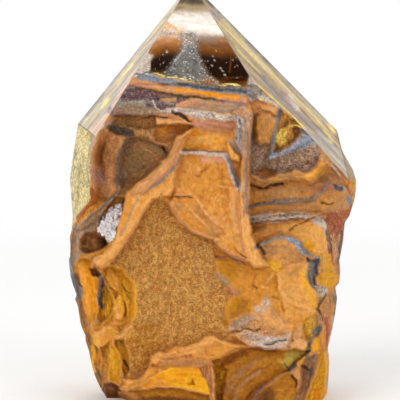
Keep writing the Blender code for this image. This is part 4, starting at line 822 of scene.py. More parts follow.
# The polished side facets, as bands that run up to the tip: points, width and tone.
SIDE_STREAKS = [
    # Painted dark reflection along the outer edge of the left facet.
    ([(-10.3, 114.8), (-16.8, 107), (-25, 96.2), (-31.1, 87.7), (-38.4, 79)], 0.9, "pewter"),
    ([(-9.5, 113.2), (-15.5, 106.2), (-23.9, 95), (-30, 86.2), (-35.6, 79)], 1.3, "oyster"),
    ([(-21.8, 93.1), (-25.1, 88.2), (-27.8, 83.6), (-30.6, 80.3)], 2.6, "blush"),
    ([(-17, 101.6), (-21, 96), (-25.5, 89.5), (-29, 83.6)], 0.9, "fog"),
    ([(-10.9, 112), (-15.9, 104.8), (-20.9, 97.6), (-24.2, 94), (-29.2, 86.6), (-32.2, 82.6),
     (-34.5, 79.4)], 0.8, "flax"),
    ([(-13.5, 108.4), (-15.4, 105.6)], 0.5, "gilt"),
    ([(-22, 96.2), (-24.4, 93), (-25.6, 91.4)], 0.7, "gilt"),
    ([(-28.4, 87), (-29.6, 85.2)], 0.9, "gilt"),
    ([(-26.9, 82.8), (-29.5, 79.8), (-32.6, 75.1)], 0.9, "peach"),
    ([(-27.7, 84.9), (-28, 83.9)], 0.6, "wine"),
    ([(-12.2, 108.6), (-14.6, 105.9), (-17.4, 99.9), (-20.4, 96.1)], 0.7, "dun"),
    # Painted dark reflection along the outer edge of the right facet.
    ([(-1, 114.5), (13.7, 99.9), (24.1, 89.6), (32.7, 81.7), (36, 77.6)], 2, "pewter"),
    ([(0.6, 110.7), (12.9, 98.6), (23.3, 88.3), (31.3, 80.6)], 1.5, "fog"),
    ([(2.8, 107.6), (10.4, 99.8), (19.5, 90.9), (29.1, 81.2)], 2, "flax"),
    ([(5, 104.8), (8.5, 99.4), (13.7, 93.9), (18.7, 89.4)], 1.4, "flax"),
    ([(19.5, 90.1), (21.7, 87.1), (23.1, 84.9)], 0.9, "dove"),
    ([(13.7, 93), (18.1, 88.1), (22.8, 83.4), (29.4, 77.6), (33.5, 74)], 1.5, "lilac"),
    ([(29.1, 77), (33.6, 72.6), (38, 66.6)], 2.4, "fog"),
    ([(29.1, 80.8), (31.3, 78.4), (33, 75.6)], 0.9, "straw"),
    ([(12.8, 90.6), (17.3, 86.2), (21.4, 82.7), (25.4, 79.2)], 0.8, "gilt"),
    ([(25.6, 78.9), (30.8, 73.7), (36.1, 68), (39.4, 63.8)], 0.9, "dove"),
    ([(33.4, 80.6), (34.6, 78.1), (35.2, 75.4)], 1.2, "horn"),
    # Painted sheen on the right facet.
    ([(21.2, 88.1), (22.4, 86.3), (23.5, 84.5)], 1.1, "chalk"),
    ([(32.4, 80.6), (33.3, 78.2)], 0.7, "gilt"),
]


# ---- numbers ----


def soft_step(low, high, value):
    """0 up to low, 1 from high, and a soft step between."""
    share = np.clip((value - low) / (high - low), 0.0, 1.0)
    return share * share * (3.0 - 2.0 * share)


def between(first, second, share):
    """The value a share of the way from first to second."""
    return first + (second - first) * share


def lattice(cell, seed):
    """A repeatable value from -1 to 1 for each whole-numbered point."""
    code = cell @ np.array([374761393, 668265263, 1274126177]) + seed * 144269504
    for shift, factor in ((13, 1103515245), (15, 1540483477)):
        code = code & 0xFFFFFFFF
        code = (code ^ (code >> shift)) * factor & 0xFFFFFFFF
    return (code ^ (code >> 16)) / 2147483648.0 - 1.0


def waver(places, size, seed):
    """A soft random value from -1 to 1 at each place, in lumps of the given size (one or three numbers)."""
    scaled = places / np.asarray(size, float)
    cell = np.floor(scaled).astype(np.int64)
    step = scaled - cell
    step = step * step * (3.0 - 2.0 * step)
    total = 0.0
    for corner in itertools.product((0, 1), repeat=3):
        share = np.prod(np.where(corner, step, 1.0 - step), axis=-1)
        total = total + share * lattice(cell + np.array(corner), seed)
    return total


def layered(places, layers, seed=0):
    """A sum of wavers, from the height, the size of the lumps and the seed of each."""
    return sum(height * waver(places, size, own + seed) for height, size, own in layers)


def on_sheet(flat):
    """Drawing points with a third coordinate, for waver."""
    return np.concatenate([flat, np.zeros((len(flat), 1))], axis=1)


def close_to(flat, points, margin):
    """Which drawing points lie in the box of an outline or line, widened by a margin."""
    corners = np.array(points, float)
    low, high = corners.min(axis=0) - margin, corners.max(axis=0) + margin
    return np.nonzero(np.all((flat > low) & (flat < high), axis=1))[0]


def gap_to_line(flat, points):
    """Distance from each drawing point to a line through points."""
    gap = np.full(len(flat), np.inf)
    for start, end in zip(points[:-1], points[1:]):
        start, run = np.array(start, float), np.subtract(end, start)
        share = np.clip((flat - start) @ run / (run @ run), 0.0, 1.0)
        gap = np.minimum(gap, np.linalg.norm(flat - start - share[:, None] * run, axis=1))
    return gap


def gap_to_outline(flat, outline):
    """Distance from each drawing point to a closed outline, negative inside it."""
    inside = np.zeros(len(flat), bool)
    ring = [*outline, outline[0]]
    for (ax, ay), (bx, by) in zip(ring[:-1], ring[1:]):
        if ay != by:
            crosses = ax + (flat[:, 1] - ay) * (bx - ax) / (by - ay)
            inside ^= ((flat[:, 1] < ay) != (flat[:, 1] < by)) & (flat[:, 0] < crosses)
    return np.where(inside, -1.0, 1.0) * gap_to_line(flat, ring)


def tone(name):
    """The linear colour of a named tone."""
    value = np.array(TONES[name]) / 255.0
    return np.where(value <= 0.04045, value / 12.92, ((value + 0.055) / 1.055) ** 2.4)


# ---- the drawing of the front ----


def to_drawing(places):
    """The (across, up) of each place of the stone, as seen from VIEW_POINT."""
    share = (places[..., 1] - VIEW_POINT[1]) / DRAWING_DISTANCE
    across = VIEW_POINT[0] + DRAWING_SHIFT + (places[..., 0] - VIEW_POINT[0]) / share
    return np.stack([across, VIEW_POINT[2] + (places[..., 2] - VIEW_POINT[2]) / share], axis=-1)


def from_drawing(flat, depth):
    """The place of the stone at each drawing point, at that depth (its y)."""
    share = (depth - VIEW_POINT[1]) / DRAWING_DISTANCE
    x = VIEW_POINT[0] + (flat[..., 0] - DRAWING_SHIFT - VIEW_POINT[0]) * share
    z = VIEW_POINT[2] + (flat[..., 1] - VIEW_POINT[2]) * share
    return np.stack([x, depth, z], axis=-1)


def facet_depth(up):
    """Depth of the polished front facet at each height of the drawing."""
    reach = TIP[1] - FRONT_FACET_LEAN * (HEIGHT - VIEW_POINT[2]) - VIEW_POINT[1]
    share = reach / (DRAWING_DISTANCE - FRONT_FACET_LEAN * (up - VIEW_POINT[2]))
    return VIEW_POINT[1] + DRAWING_DISTANCE * share


def raggedness(flat):
    """Drawing points moved a little, so that edges run unevenly."""
    sheet = on_sheet(flat)
    return flat + np.stack([layered(sheet, EDGE_WANDER, side) for side in (0, 1)], axis=-1)


def along_face(flat, outline):
    """Drawing points measured along and across an outline's longer way, the first of them shortened."""
    corners = np.array(outline, float)
    spread, ways = np.linalg.eigh(np.cov(corners.T))
    stretch = min(max(math.sqrt(spread[1] / spread[0]), 1.2), 3.4)
    turned = (flat - corners.mean(axis=0)) @ ways[:, ::-1]
    return on_sheet(turned / (stretch, 1.0))


def terraced(value, steps):
    """A value brought to a few flat steps with short rises between."""
    scaled = value * steps
    low = np.floor(scaled)
    return (low + soft_step(0.3, 0.7, scaled - low)) / steps


def ridges(flat, outline, seed):
    """Ridges and flakes that run along a face, from about -1 to 1."""
    run = along_face(flat, outline)
    return 0.6 * terraced(layered(run, FLAKES, seed), FLAKE_STEPS) + layered(run, FINE_RIDGES, seed)


def set_depth(depth, ragged, outline, middle, rise_across, rise_up, edge):
    """Brings the points in an outline to the depth of a sloping face."""
    picked = close_to(ragged, outline, edge)
    offset = ragged[picked] - (np.min(outline, axis=0) + np.max(outline, axis=0)) / 2
    level = middle + rise_across * offset[:, 0] + rise_up * offset[:, 1]
    share = soft_step(edge / 2, -edge / 2, gap_to_outline(ragged[picked], outline))
    depth[picked] = between(depth[picked], level, share)


def face_relief(flat, ragged):
    """Depth of the plain break with its faces let into it, and the roughness that each face brings."""
    depth = np.interp(flat[:, 1], *zip(*FRONT_PROFILE))
    rough = layered(on_sheet(flat), PLAIN_ROUGHNESS)
    for number, (_, outline, _, _, finish, *slope) in enumerate(FACES):
        picked = close_to(ragged, outline, 1)
        share = soft_step(0.4, -0.4, gap_to_outline(ragged[picked], outline))
        own = RIDGES[finish] * ridges(flat[picked], outline, 300 + 9 * number)
        rough[picked] = between(rough[picked], own, share)
        if slope:
            set_depth(depth, ragged, outline, *slope)
    return depth, rough


def break_depth(flat):
    """Depth of the broken front at each drawing point, from its faces, its lines and its roughness."""
    ragged = raggedness(flat)
    depth, rough = face_relief(flat, ragged)
    for _, points, width, _, _, height in LINES:
        if height:
            picked = close_to(ragged, points, width + 1)
            share = soft_step(width / 2 + 0.5, 0.0, gap_to_line(ragged[picked], points))
            depth[picked] -= height * share
    return depth + rough + layered(on_sheet(flat), BREAK_ROUGHNESS)


def plain_finish(count):
    """The colours and finish masks of so many points, not yet laid."""
    return {"tint": np.zeros((count, 3)), **{mask: np.zeros(count) for mask in MASKS}}


def lay(finish, picked, share, colour, kind):
    """Lays a colour and a kind of finish over the picked points by a share."""
    finish["tint"][picked] = between(finish["tint"][picked], colour, share[:, None])
    for mask in MASKS:
        finish[mask][picked] = between(finish[mask][picked], FINISHES[kind].get(mask, 0.0), share)


def covered(colour, kind):
    """The finish of points that all have the same kind, each with its own colour."""
    finish = plain_finish(len(colour))
    lay(finish, np.arange(len(colour)), np.ones(len(colour)), colour, kind)
    return finish


def blend(finish, other, share):
    """A finish with another one over it by a share."""
    return {part: between(finish[part], other[part], share[:, None] if part == "tint" else share)
            for part in finish}


def mottle(flat, outline, kind, seed):
    """How much of a face's second tone shows at each drawing point, in streaks along it or in patches."""
    patches = layered(along_face(flat, outline), SAND_PATCHES if kind == "sandy" else PATCHES, seed)
    return 0.9 * soft_step(-0.25, 0.6, patches)


def lay_faces(finish, flat, faces):
    """Lays the tones and finishes of a list of faces."""
    ragged = raggedness(flat)
    for number, (_, outline, first, second, kind, edge) in enumerate(faces):
        picked = close_to(ragged, outline, edge + 1)
        share = soft_step(edge, -edge, gap_to_outline(ragged[picked], outline))
        streaks = mottle(flat[picked], outline, kind, 40 + 7 * number)[:, None]
        lay(finish, picked, share, between(tone(first), tone(second), streaks), kind)


def lay_lines(finish, flat, lines, soft=0.14):
    """Lays lines, each with its points, width, tone and finish, with an edge of the given softness."""
    ragged = raggedness(flat)
    fray = layered(on_sheet(flat), LINE_FRAY)
    for points, width, name, kind in lines:
        picked = close_to(ragged, points, width + 1)
        gap = gap_to_line(ragged[picked], points) + fray[picked] * min(0.45, 0.4 * width)
        fade = 0.35 * width if kind == "silky" else soft
        lay(finish, picked, soft_step(width / 2 + fade, width / 2 - fade, gap), tone(name), kind)


def facet_finish(flat):
    """Colours and finish masks of the polished front facet."""
    finish = plain_finish(len(flat))
    lay_faces(finish, flat, FACET_FACES)
    lay_lines(finish, flat, [(*line, "polished") for _, *line in FACET_LINES])
    chips = [([(x, up), (x + size / 2, up)], size, "dove", "polished") for x, up, size in CHIPS]
    lay_lines(finish, flat, chips, 0.12)
    return finish


def front_finish(flat):
    """Colours and finish masks of everything that the drawing shows."""
    patches = soft_step(-0.4, 0.6, waver(on_sheet(flat), 2.0, 30))[:, None]
    finish = covered(between(tone("honey"), tone("tan"), patches), "silky")
    lay_faces(finish, flat, [(*face[:5], FADES.get(face[4], PLAIN_FADE)) for face in FACES])
    lay_lines(finish, flat, [line[1:5] for line in LINES])
    on_facet = soft_step(0.15, -0.15, gap_to_outline(raggedness(flat), FRONT_FACET))
    return blend(finish, facet_finish(flat), on_facet)


def side_facet_finish(flat):
    """Colours and finish of the two polished side facets."""
    aside = np.sign(flat[:, 0] - TIP[0]) * flat[:, 1]
    run = on_sheet(np.stack([flat[:, 1] * 0.18, flat[:, 0] + aside], axis=-1))
    share = soft_step(-0.5, 0.6, waver(run, 1.1, 33))[:, None]
    finish = covered(between(tone("horn"), tone("blush"), share), "polished")
    lay_lines(finish, flat, [(*streak, "polished") for streak in SIDE_STREAKS], 0.55)
    return finish


def bedding(places):
    """Tones of the hidden sides: the stone's beds, tilted as they are on the front."""
    level = places @ np.array(BED_TILT) + layered(places, BED_WANDER)
    turn = level / BED_HEIGHT + 1.5 * waver(places * (0.1, 0.1, 1), 6.0, 53)
    turn = (turn + 0.5 * waver(places * (0.3, 0.3, 1), 1.9, 54)) % len(BEDS)
    first = np.floor(turn).astype(int)
    tones = np.array([tone(name) for name in BEDS])
    return between(tones[first], tones[(first + 1) % len(BEDS)], soft_step(0.75, 1.0, turn - first)[:, None])


def hidden_finish(places):
    """Colours and finish masks of the sides that the drawing doesn't show."""
    finish = covered(bedding(places), "silky")
    finish["sand"][:] = 0.5 * soft_step(-0.2, 0.5, waver(places, 11.0, 81))
    finish["sugar"][:] = 0.5 * soft_step(0.1, 0.7, waver(places, (6.0, 6.0, 2.0), 82))
    return finish


# ---- the shape ----


def line_at(line, heights):
    """The (x, y) of a corner line at each height."""
    z, x, y = np.array(line, float).T
    return np.stack([np.interp(heights, z, x), np.interp(heights, z, y)], axis=-1)


def drawn_line(line):
    """A corner line as drawn: its heights, and its across and depth at each."""
    z, x, y = np.array(line, float).T
    flat = to_drawing(np.stack([x, y, z], axis=-1))
    return flat[:, 1], flat[:, 0], y


def foot_places():
    """The front edge of the sawn foot, one place for each column."""
    xs, ys = np.array(FOOT_LINE, float).T
    x = np.linspace(xs[0], xs[-1], FRONT_FACES + 1)
    y = np.interp(x, xs, ys)
    y[1:-1] += 0.5 * waver(np.stack([x, x * 0, x * 0], axis=-1), 2.2, 61)[1:-1]
    return np.stack([x, y, x * 0], axis=-1)


def front_drawing(foot):
    """The (across, up) of every front place, from the foot to the tip, and the across of both corners."""
    level = np.linspace(0.0, drawn_line(FRONT_LEFT_LINE)[0][-1], ROWS + 1)[:, None]
    up = level + foot[:, 1] * np.clip(1.0 - level / FOOT_REACH, 0.0, 1.0)
    sides = ((FRONT_LEFT_LINE, up[:, :1]), (FRONT_RIGHT_LINE, up[:, -1:]))
    left, right = (np.interp(heights, *drawn_line(line)[:2]) for line, heights in sides)
    across = between(left, right, np.linspace(0.0, 1.0, FRONT_FACES + 1))
    across = between(foot[:, 0], across, soft_step(0.0, 6.0, up - foot[:, 1]))
    return np.stack([across, up], axis=-1), left, right


def front_places():
    """Places of the front, slice by slice from the foot to the tip, left to right."""
    foot = foot_places()
    foot_flat = to_drawing(foot)
    flat, left, right = front_drawing(foot_flat)
    across, up = flat[..., 0], flat[..., 1]
    sheet = flat.reshape(-1, 2)
    depth = break_depth(sheet).reshape(up.shape)
    for line, corner in ((FRONT_LEFT_LINE, left), (FRONT_RIGHT_LINE, right)):
        heights, _, depths = drawn_line(line)
        share = soft_step(0.0, EDGE_BLEND, np.abs(across - corner))
        depth = between(np.interp(up, heights, depths), depth, share)
    depth = between(foot[:, 1], depth, soft_step(0.0, EDGE_BLEND, up - foot_flat[:, 1]))
    polished = facet_depth(up)
    on_facet = gap_to_outline(raggedness(sheet), FRONT_FACET).reshape(up.shape)
    depth = between(np.maximum(depth, polished), polished, soft_step(0.3, -0.3, on_facet))
    places = from_drawing(flat, depth)
    places[1:, :, 2] = np.maximum(places[1:, :, 2], FOOT_GAP)
    places[0] = foot
    return places


def forward_lumps(places, strength):
    """Roughness of the narrow sides, towards the front, so that their outlines stay as drawn."""
    return np.array([0.0, -1.0, 0.0]) * ((0.9 + layered(places, SIDE_LUMPS)) * strength)[..., None]


def lumps(places, strength):
    """Roughness of the hidden sides, outwards from the middle of the stone."""
    outwards = places * (1.0, 1.0, 0.0)
    outwards = outwards / np.maximum(np.linalg.norm(outwards, axis=-1, keepdims=True), 1e-6)
    return outwards * (layered(places, BACK_LUMPS) * strength)[..., None]


def facet_share_left(heights, share):
    """How far each left strip place is on the polished left facet, from 0 to 1."""
    edge = between(LEFT_FACET_FOOT_HEIGHT, LEFT_SHOULDER[0], share)
    return soft_step(-0.25, 0.25, heights - edge)


def left_strip(start, share):
    """Left side places from the front corner line (share 0) to the left line (share 1)."""
    height = start[:, None, 2] + 0 * share[None, :]
    end = np.concatenate([line_at(LEFT_LINE, start[:, 2]), start[:, 2:]], axis=1)
    places = between(start[:, None], end[:, None], share[None, :, None])
    rough = (1.0 - facet_share_left(height, share[None, :])) * np.sin(np.pi * share)[None, :]
    return places + forward_lumps(places, rough * soft_step(0.0, 3.0, height))


def right_strip(start, share):
    """Right side places from the front corner line (share 0) to the right line (share 1)."""
    height = start[:, 2]
    low, high = RIGHT_FACET_FOOT[0], RIGHT_SHOULDER[0]
    bend = np.clip((height - low) / (high - low), 0.0, 1.0)[:, None]
    edge = between(np.array(RIGHT_FACET_FOOT[1:]), np.array(RIGHT_SHOULDER[1:]), bend)
    end = line_at(RIGHT_LINE, height)
    edge = np.where(bend >= 1.0, end, np.where(bend <= 0.0, start[:, :2], edge))
    over = np.maximum(share - bend, 0.0) / np.maximum(1.0 - bend, 1e-6)
    under = np.minimum(share / np.maximum(bend, 1e-6), 1.0)
    flat = between(start[:, None, :2], edge[:, None], under[..., None])
    flat = between(flat, end[:, None], np.minimum(over, 1.0)[..., None])
    places = np.concatenate([flat, height[:, None, None] + 0 * flat[..., :1]], axis=-1)
    rough = np.sin(np.pi * np.clip(over, 0.0, 1.0)) * soft_step(0.0, 2.0, height)[:, None]
    on_facet = np.where(bend >= 1.0, 1.0, (share < bend) * 1.0)
    return places + forward_lumps(places, rough * (1.0 - on_facet)), on_facet


def back_places(right_end, left_end):
    """Hidden places between the right line and the left line, going round the back."""
    steps = np.arange(1, BEHIND)
    height = between(right_end[:, None, 2], left_end[:, None, 2], steps / BEHIND)
    corners = [line_at(BACK_RIGHT_LINE, height), line_at(BACK_LEFT_LINE, height), left_end[:, None, :2]]
    stops = (0, REAR_FACES, REAR_FACES + BACK_FACES, BEHIND)
    flat = np.repeat(right_end[:, None, :2], len(steps), axis=1)
    for begin, stop, corner in zip(stops, stops[1:], corners):
        flat = between(flat, corner, np.clip((steps - begin) / (stop - begin), 0.0, 1.0)[:, None])
    places = np.concatenate([flat, height[..., None]], axis=-1)
    ends = soft_step(0, 2.5, np.minimum(steps, BEHIND - steps))
    rough = 1.0 - soft_step(BACK_SHOULDER_HEIGHT - 1.5, BACK_SHOULDER_HEIGHT + 0.3, height)
    return places + lumps(places, rough * ends * soft_step(0.0, 3.0, height)), 1.0 - rough


def stone_shape():
    """Every place of the stone by slice and step, and how polished each is where it isn't on the front."""
    front = front_places()
    left_shares = np.arange(1, LEFT_FACES + 1) / LEFT_FACES
    left = left_strip(front[:, 0], left_shares)
    left_gloss = facet_share_left(left[..., 2], left_shares)
    right, right_gloss = right_strip(front[:, -1], np.arange(1, RIGHT_FACES + 1) / RIGHT_FACES)
    back, back_gloss = back_places(right[:, -1], left[:, -1])
    places = np.concatenate([front, right, back, left[:, ::-1]], axis=1)
    gloss = np.concatenate([front[..., 0] * 0, right_gloss, back_gloss, left_gloss[:, ::-1]], axis=1)
    places[0, :, 2] = 0.0
    places[-1] = (*TIP, HEIGHT)
    return places, gloss


def seen_share():
    """How much each column takes its colours from the drawing, rather than from the hidden beds."""
    steps = np.arange(1, BEHIND)
    hidden = 1.0 - soft_step(0.0, 2.0, np.minimum(steps, BEHIND - steps))
    return np.concatenate([np.ones(FRONT_FACES + 1 + RIGHT_FACES), hidden, np.ones(LEFT_FACES)])


def smeared(field, reach):
    """A field averaged over its neighbours within a reach, along its slices and up them."""
    for axis in (0, 1):
        ends = [np.repeat(np.take(field, [end], axis), reach, axis) for end in (0, -1)]
        padded = np.concatenate([ends[0], field, ends[1]], axis)
        field = sum(np.take(padded, range(k, k + field.shape[axis]), axis) for k in range(2 * reach + 1))
        field = field / (2 * reach + 1)
    return field


def hollowness(places):
    """How raised above its neighbours (negative) or sunk in a crevice (positive) each front place is, from
    -1 to 1.
    """
    depth = places[:, :FRONT_FACES + 1, 1]
    wide = np.clip((depth - smeared(depth, 6)) / 0.9, -1.0, 1.0)
    fine = np.clip((depth - smeared(depth, 2)) / 0.22, -1.0, 1.0)
    sunk = np.zeros(places.shape[:2])
    sunk[:, :FRONT_FACES + 1] = 0.25 * wide + 0.6 * fine
    return sunk.reshape(-1)


def paint_crevice_shade_and_pale_ridges(finish, sunk):
    """Paints shade into crevices by darkening their tint, and pales the tint of raised places."""
    # Painted shade: the deeper a crevice, the darker its tint; raised places are paled.
    deep = (np.clip(sunk, 0.0, 1.0) * (1.0 - finish["gloss"]))[:, None]
    pale = (np.clip(-sunk, 0.0, 1.0) * (1.0 - finish["gloss"]))[:, None]
    finish["tint"] *= 1.0 - deep * np.array(PAINTED_CREVICE_SHADE)
    finish["tint"] = between(finish["tint"], tone("peach") * 0.4 + finish["tint"] * 0.9, 0.5 * pale)


def stone_finish(places, gloss):
    """Colours and finish masks for every place of the stone, in one flat list."""
    spots, polish = places.reshape(-1, 3), gloss.reshape(-1)
    flat = to_drawing(spots)
    seen = np.tile(seen_share(), len(gloss))
    finish = blend(hidden_finish(spots), front_finish(flat), seen)
    finish = blend(finish, side_facet_finish(flat), polish * (seen > 0.5))
    finish["gloss"] = np.where(seen > 0.5, finish["gloss"], np.maximum(finish["gloss"], polish))
    for mask in ("sand", "sugar", "fibre", "gold"):
        finish[mask] = np.where(polish > 0.5, finish[mask] * 0.3, finish[mask])
    # Painted shade in the crevices of the front, and paler raised places.
    paint_crevice_shade_and_pale_ridges(finish, hollowness(places))
    return finish


def slab_of_slices():
    """A closed upright form with AROUND faces in each of ROWS slices, as a bmesh."""
    form = bmesh.new()
    bmesh.ops.create_cone(form, cap_ends=True, cap_tris=False, segments=AROUND, radius1=1.0, radius2=1.0,
                          depth=1.0)
    upright = [edge for edge in form.edges if abs(edge.verts[0].co.z - edge.verts[1].co.z) > 0.5]
    bmesh.ops.subdivide_edges(form, edges=upright, cuts=ROWS - 1, use_grid_fill=True)
    lid = [face for face in form.faces if len(face.verts) > 4 and face.calc_center_median().z > 0.4]
    bmesh.ops.delete(form, geom=lid, context="FACES_ONLY")
    return form


def slice_and_step(corner):
    """The slice and the step round it of a corner of the upright form."""
    turn = math.atan2(corner.co.y, corner.co.x) / (2 * math.pi) * AROUND
    return round((corner.co.z + 0.5) * ROWS), round(turn) % AROUND


def crease(form, slots):
    """Keeps the arrises of the polished point, and the rim of the foot, sharp."""
    right = FRONT_FACES + RIGHT_FACES
    starts = {
        0: LEFT_FACET_FOOT_HEIGHT, FRONT_FACES: RIGHT_FACET_FOOT[0] + 0.4, right: RIGHT_SHOULDER[0],
        right + REAR_FACES: BACK_SHOULDER_HEIGHT, right + REAR_FACES + BACK_FACES: BACK_SHOULDER_HEIGHT,
        right + BEHIND: LEFT_SHOULDER[0],
    }
    for edge in form.edges:
        (row_a, step_a), (row_b, step_b) = (slots[corner.index] for corner in edge.verts)
        if row_a == row_b == 0:
            edge.smooth = False
        if step_a == step_b and step_a in starts:
            edge.smooth = min(corner.co.z for corner in edge.verts) < starts[step_a] * MM


def keep_piece(form, name, *materials):
    """Turns a bmesh into a piece of the scene."""
    mesh = bpy.data.meshes.new(name)
    form.to_mesh(mesh)
    form.free()
    for material in materials:
        mesh.materials.append(material)
    piece = bpy.data.objects.new(name, mesh)
    bpy.context.scene.collection.objects.link(piece)
    return piece


def polish_slot(steps):
    """Which polished finish a face takes: that of the front facet, of a side facet or of a back facet."""
    if max(steps) <= FRONT_FACES:
        return 1
    behind = min(steps) >= FRONT_FACES + RIGHT_FACES and max(steps) <= AROUND - LEFT_FACES
    return 3 if behind else 2


def finish_faces(form, slots, gloss):
    """Gives each face its smoothness, and the broken finish or one of the polished ones."""
    for face in form.faces:
        face.smooth = len(face.verts) <= 4
        shine = sum(corner[gloss] for corner in face.verts) / len(face.verts)
        steps = [slots[corner.index][1] for corner in face.verts]
        face.material_index = polish_slot(steps) if shine > GLOSSY else 0


def carve_stone(finishes):
    """The whole stone as one closed piece, with its broken finish and its three polished ones."""
    form = slab_of_slices()
    for mask in MASKS:
        form.verts.layers.float.new(mask)
    colour = form.verts.layers.float_color.new("tint")
    masks = {mask: form.verts.layers.float[mask] for mask in MASKS}
    corners = list(form.verts)
    form.verts.index_update()
    slots = [slice_and_step(corner) for corner in corners]
    places, gloss = stone_shape()
    finish = stone_finish(places, gloss)
    for corner, (row, step) in zip(corners, slots):
        corner.co = places[row, step] * MM
        spot = row * AROUND + step
        corner[colour] = (*finish["tint"][spot], 1.0)
        for mask, layer in masks.items():
            corner[layer] = finish[mask][spot]
    finish_faces(form, slots, masks["gloss"])
    crease(form, slots)
    tip = [corner for corner, (row, _) in zip(corners, slots) if row == ROWS]
    bmesh.ops.pointmerge(form, verts=tip, merge_co=Vector((*TIP, HEIGHT)) * MM)
    bmesh.ops.recalc_face_normals(form, faces=form.faces)
    return keep_piece(form, "fine_tigers_eye_stone", *finishes)


def plant_crystal(form, place, chance):
    """One small pointed crystal, leaning forwards from its place."""
    width, length = chance.uniform(0.3, 0.62), chance.uniform(0.7, 1.4)
    lean = Vector((chance.uniform(-0.7, 0.5), -1.0, chance.uniform(-0.5, 0.8))).normalized()
    stand = Matrix.Translation(place + lean * length / 2 - lean * CRYSTAL_ROOT)
    stand = stand @ lean.to_track_quat("Z", "Y").to_matrix().to_4x4()
    made = bmesh.ops.create_cone(form, cap_ends=True, segments=6, radius1=width, radius2=width,
                                 depth=length, matrix=stand)
    ends = {face for corner in made["verts"] for face in corner.link_faces if len(face.verts) == 6}
    top = max(ends, key=lambda face: (face.calc_center_median() - place).dot(lean))
    bmesh.ops.poke(form, faces=[top], offset=width * 0.9)


def grow_quartz(material):
    """The little quartz crystals that line the pocket at the left."""
    form = bmesh.new()
    chance = np.random.default_rng(5)
    bed = next(outline for name, outline, *_ in FACES if name == "crystal bed")
    low, high = np.min(bed, axis=0), np.max(bed, axis=0)
    flat = low + (high - low) * chance.random((CRYSTALS * 4, 2))
    flat = flat[gap_to_outline(flat, bed) < 0.1][:CRYSTALS]
    for place in from_drawing(flat, break_depth(flat) - 0.1):
        plant_crystal(form, Vector(place), chance)
    bmesh.ops.scale(form, vec=Vector((MM, MM, MM)), verts=form.verts)
    bmesh.ops.recalc_face_normals(form, faces=form.faces)
    return keep_piece(form, "quartz_druse", material)


# ---- the finishes ----


class Recipe:
    """A node tree, built up node by node."""

    def __init__(self, tree):
        self.nodes, self.links = tree.nodes, tree.links

    def feed(self, socket, value):
        """Gives a socket a plain value, or the output of another node."""
        if isinstance(value, bpy.types.NodeSocket):
            self.links.new(value, socket)
        else:
            socket.default_value = value

    def node(self, kind, feeds, **settings):
        """The outputs of a new node, with its inputs fed and its settings made."""
        made = self.nodes.new("ShaderNode" + kind)
        for name, value in settings.items():
            setattr(made, name, value)
        for name, value in feeds.items():
            self.feed(made.inputs[name], value)
        return made.outputs

    def count(self, operation, first, second=0.0):
        """Arithmetic on two values."""
        return self.node("Math", {0: first, 1: second}, operation=operation)[0]

    def times(self, first, second):
        """The product of two values."""
        return self.count("MULTIPLY", first, second)

    def plus(self, first, second):
        """The sum of two values."""
        return self.count("ADD", first, second)

    def stir(self, share, first, second, how="MIX"):
        """Mixes two colours by a share."""
        feeds = {"Factor": share, 6: first, 7: second}
        return self.node("Mix", feeds, data_type="RGBA", blend_type=how)[2]

    def step(self, value, low, high, start=0.0, end=1.0):
        """A value read between low and high as start to end."""
        feeds = {"Value": value, "From Min": low, "From Max": high, "To Min": start, "To Max": end}
        return self.node("MapRange", feeds, interpolation_type="SMOOTHSTEP")["Result"]


class Finish(Recipe):
    """One material: its shader, and the grain and the masks that its recipe reads."""

    def __init__(self, name):
        self.material = bpy.data.materials.new(name)
        self.material.use_nodes = True
        super().__init__(self.material.node_tree)
        self.shader = self.nodes["Principled BSDF"]
        self.place = self.node("TexCoord", {})["Object"]
        self.plain = self.drawn_out((1.0, 1.0, 1.0))

    def give(self, name, value):
        """Gives one input of the shader a value."""
        self.feed(self.shader.inputs[name], value)

    def mask(self, name):
        """A finish mask of the piece's own points."""
        return self.node("Attribute", {}, attribute_name=name)["Fac"]

    def tint(self):
        """The tint of the piece's own points."""
        return self.node("Attribute", {}, attribute_name="tint")["Color"]

    def dyed(self, colour, dye):
        """A colour multiplied by another."""
        return self.stir(1.0, colour, dye, "MULTIPLY")

    def drawn_out(self, scale, turn=(0.0, 0.0, 0.0)):
        """Object coordinates in millimetres, stretched or turned."""
        feeds = {"Vector": self.place, "Rotation": turn, "Scale": [side / MM for side in scale]}
        return self.node("Mapping", feeds)["Vector"]

    def grain(self, scale, detail=4.0, rough=0.6, bend=0.0, where=None):
        """Cloudy grain, in plain millimetres where no other coordinates are given."""
        where = self.plain if where is None else where
        feeds = {"Vector": where, "Scale": scale, "Detail": detail, "Roughness": rough, "Distortion": bend}
        return self.node("TexNoise", feeds)["Fac"]

    def crystals(self, output):
        """Cells such as packed sugar crystals, as the distance to their middles or a colour for each."""
        return self.node("TexVoronoi", {"Vector": self.plain, "Scale": SUGAR_SCALE})[output]

    def raise_by(self, height, distance, under=None):
        """A bump of the given height in metres, over another."""
        feeds = {"Strength": 1.0, "Distance": distance, "Height": height}
        if under is not None:
            feeds["Normal"] = under
        return self.node("Bump", feeds)["Normal"]


def slope_bands(look):
    """Thin bands that run down both polished side facets from the tip, from 0 to 1."""
    x, y, z = look.node("SeparateXYZ", {0: look.plain})
    aside = look.count("ABSOLUTE", look.count("SUBTRACT", x, TIP[0]))
    feeds = {"X": look.plus(z, aside), "Y": look.times(y, 0.26), "Z": look.times(aside, 0.045)}
    return look.grain(0.75, 6.0, 0.62, 0.3, look.node("CombineXYZ", feeds)[0])


def fibrous(look, colour):
    """A colour with pale and dark fibres that run up the stone, where the face is fibrous; the pale fibres
    are real fibre colour and partly a painted silky sheen.
    """
    streaks = look.grain(1.0, 5.0, 0.65, 0.4, look.drawn_out((1.9, 1.9, 0.28), FIBRE_TURN))
    fibres = look.stir(look.step(streaks, 0.32, 0.68), (0.52, 0.44, 0.36, 1), (1.3, 1.25, 1.15, 1))
    return look.stir(look.mask("fibre"), colour, look.dyed(colour, fibres))


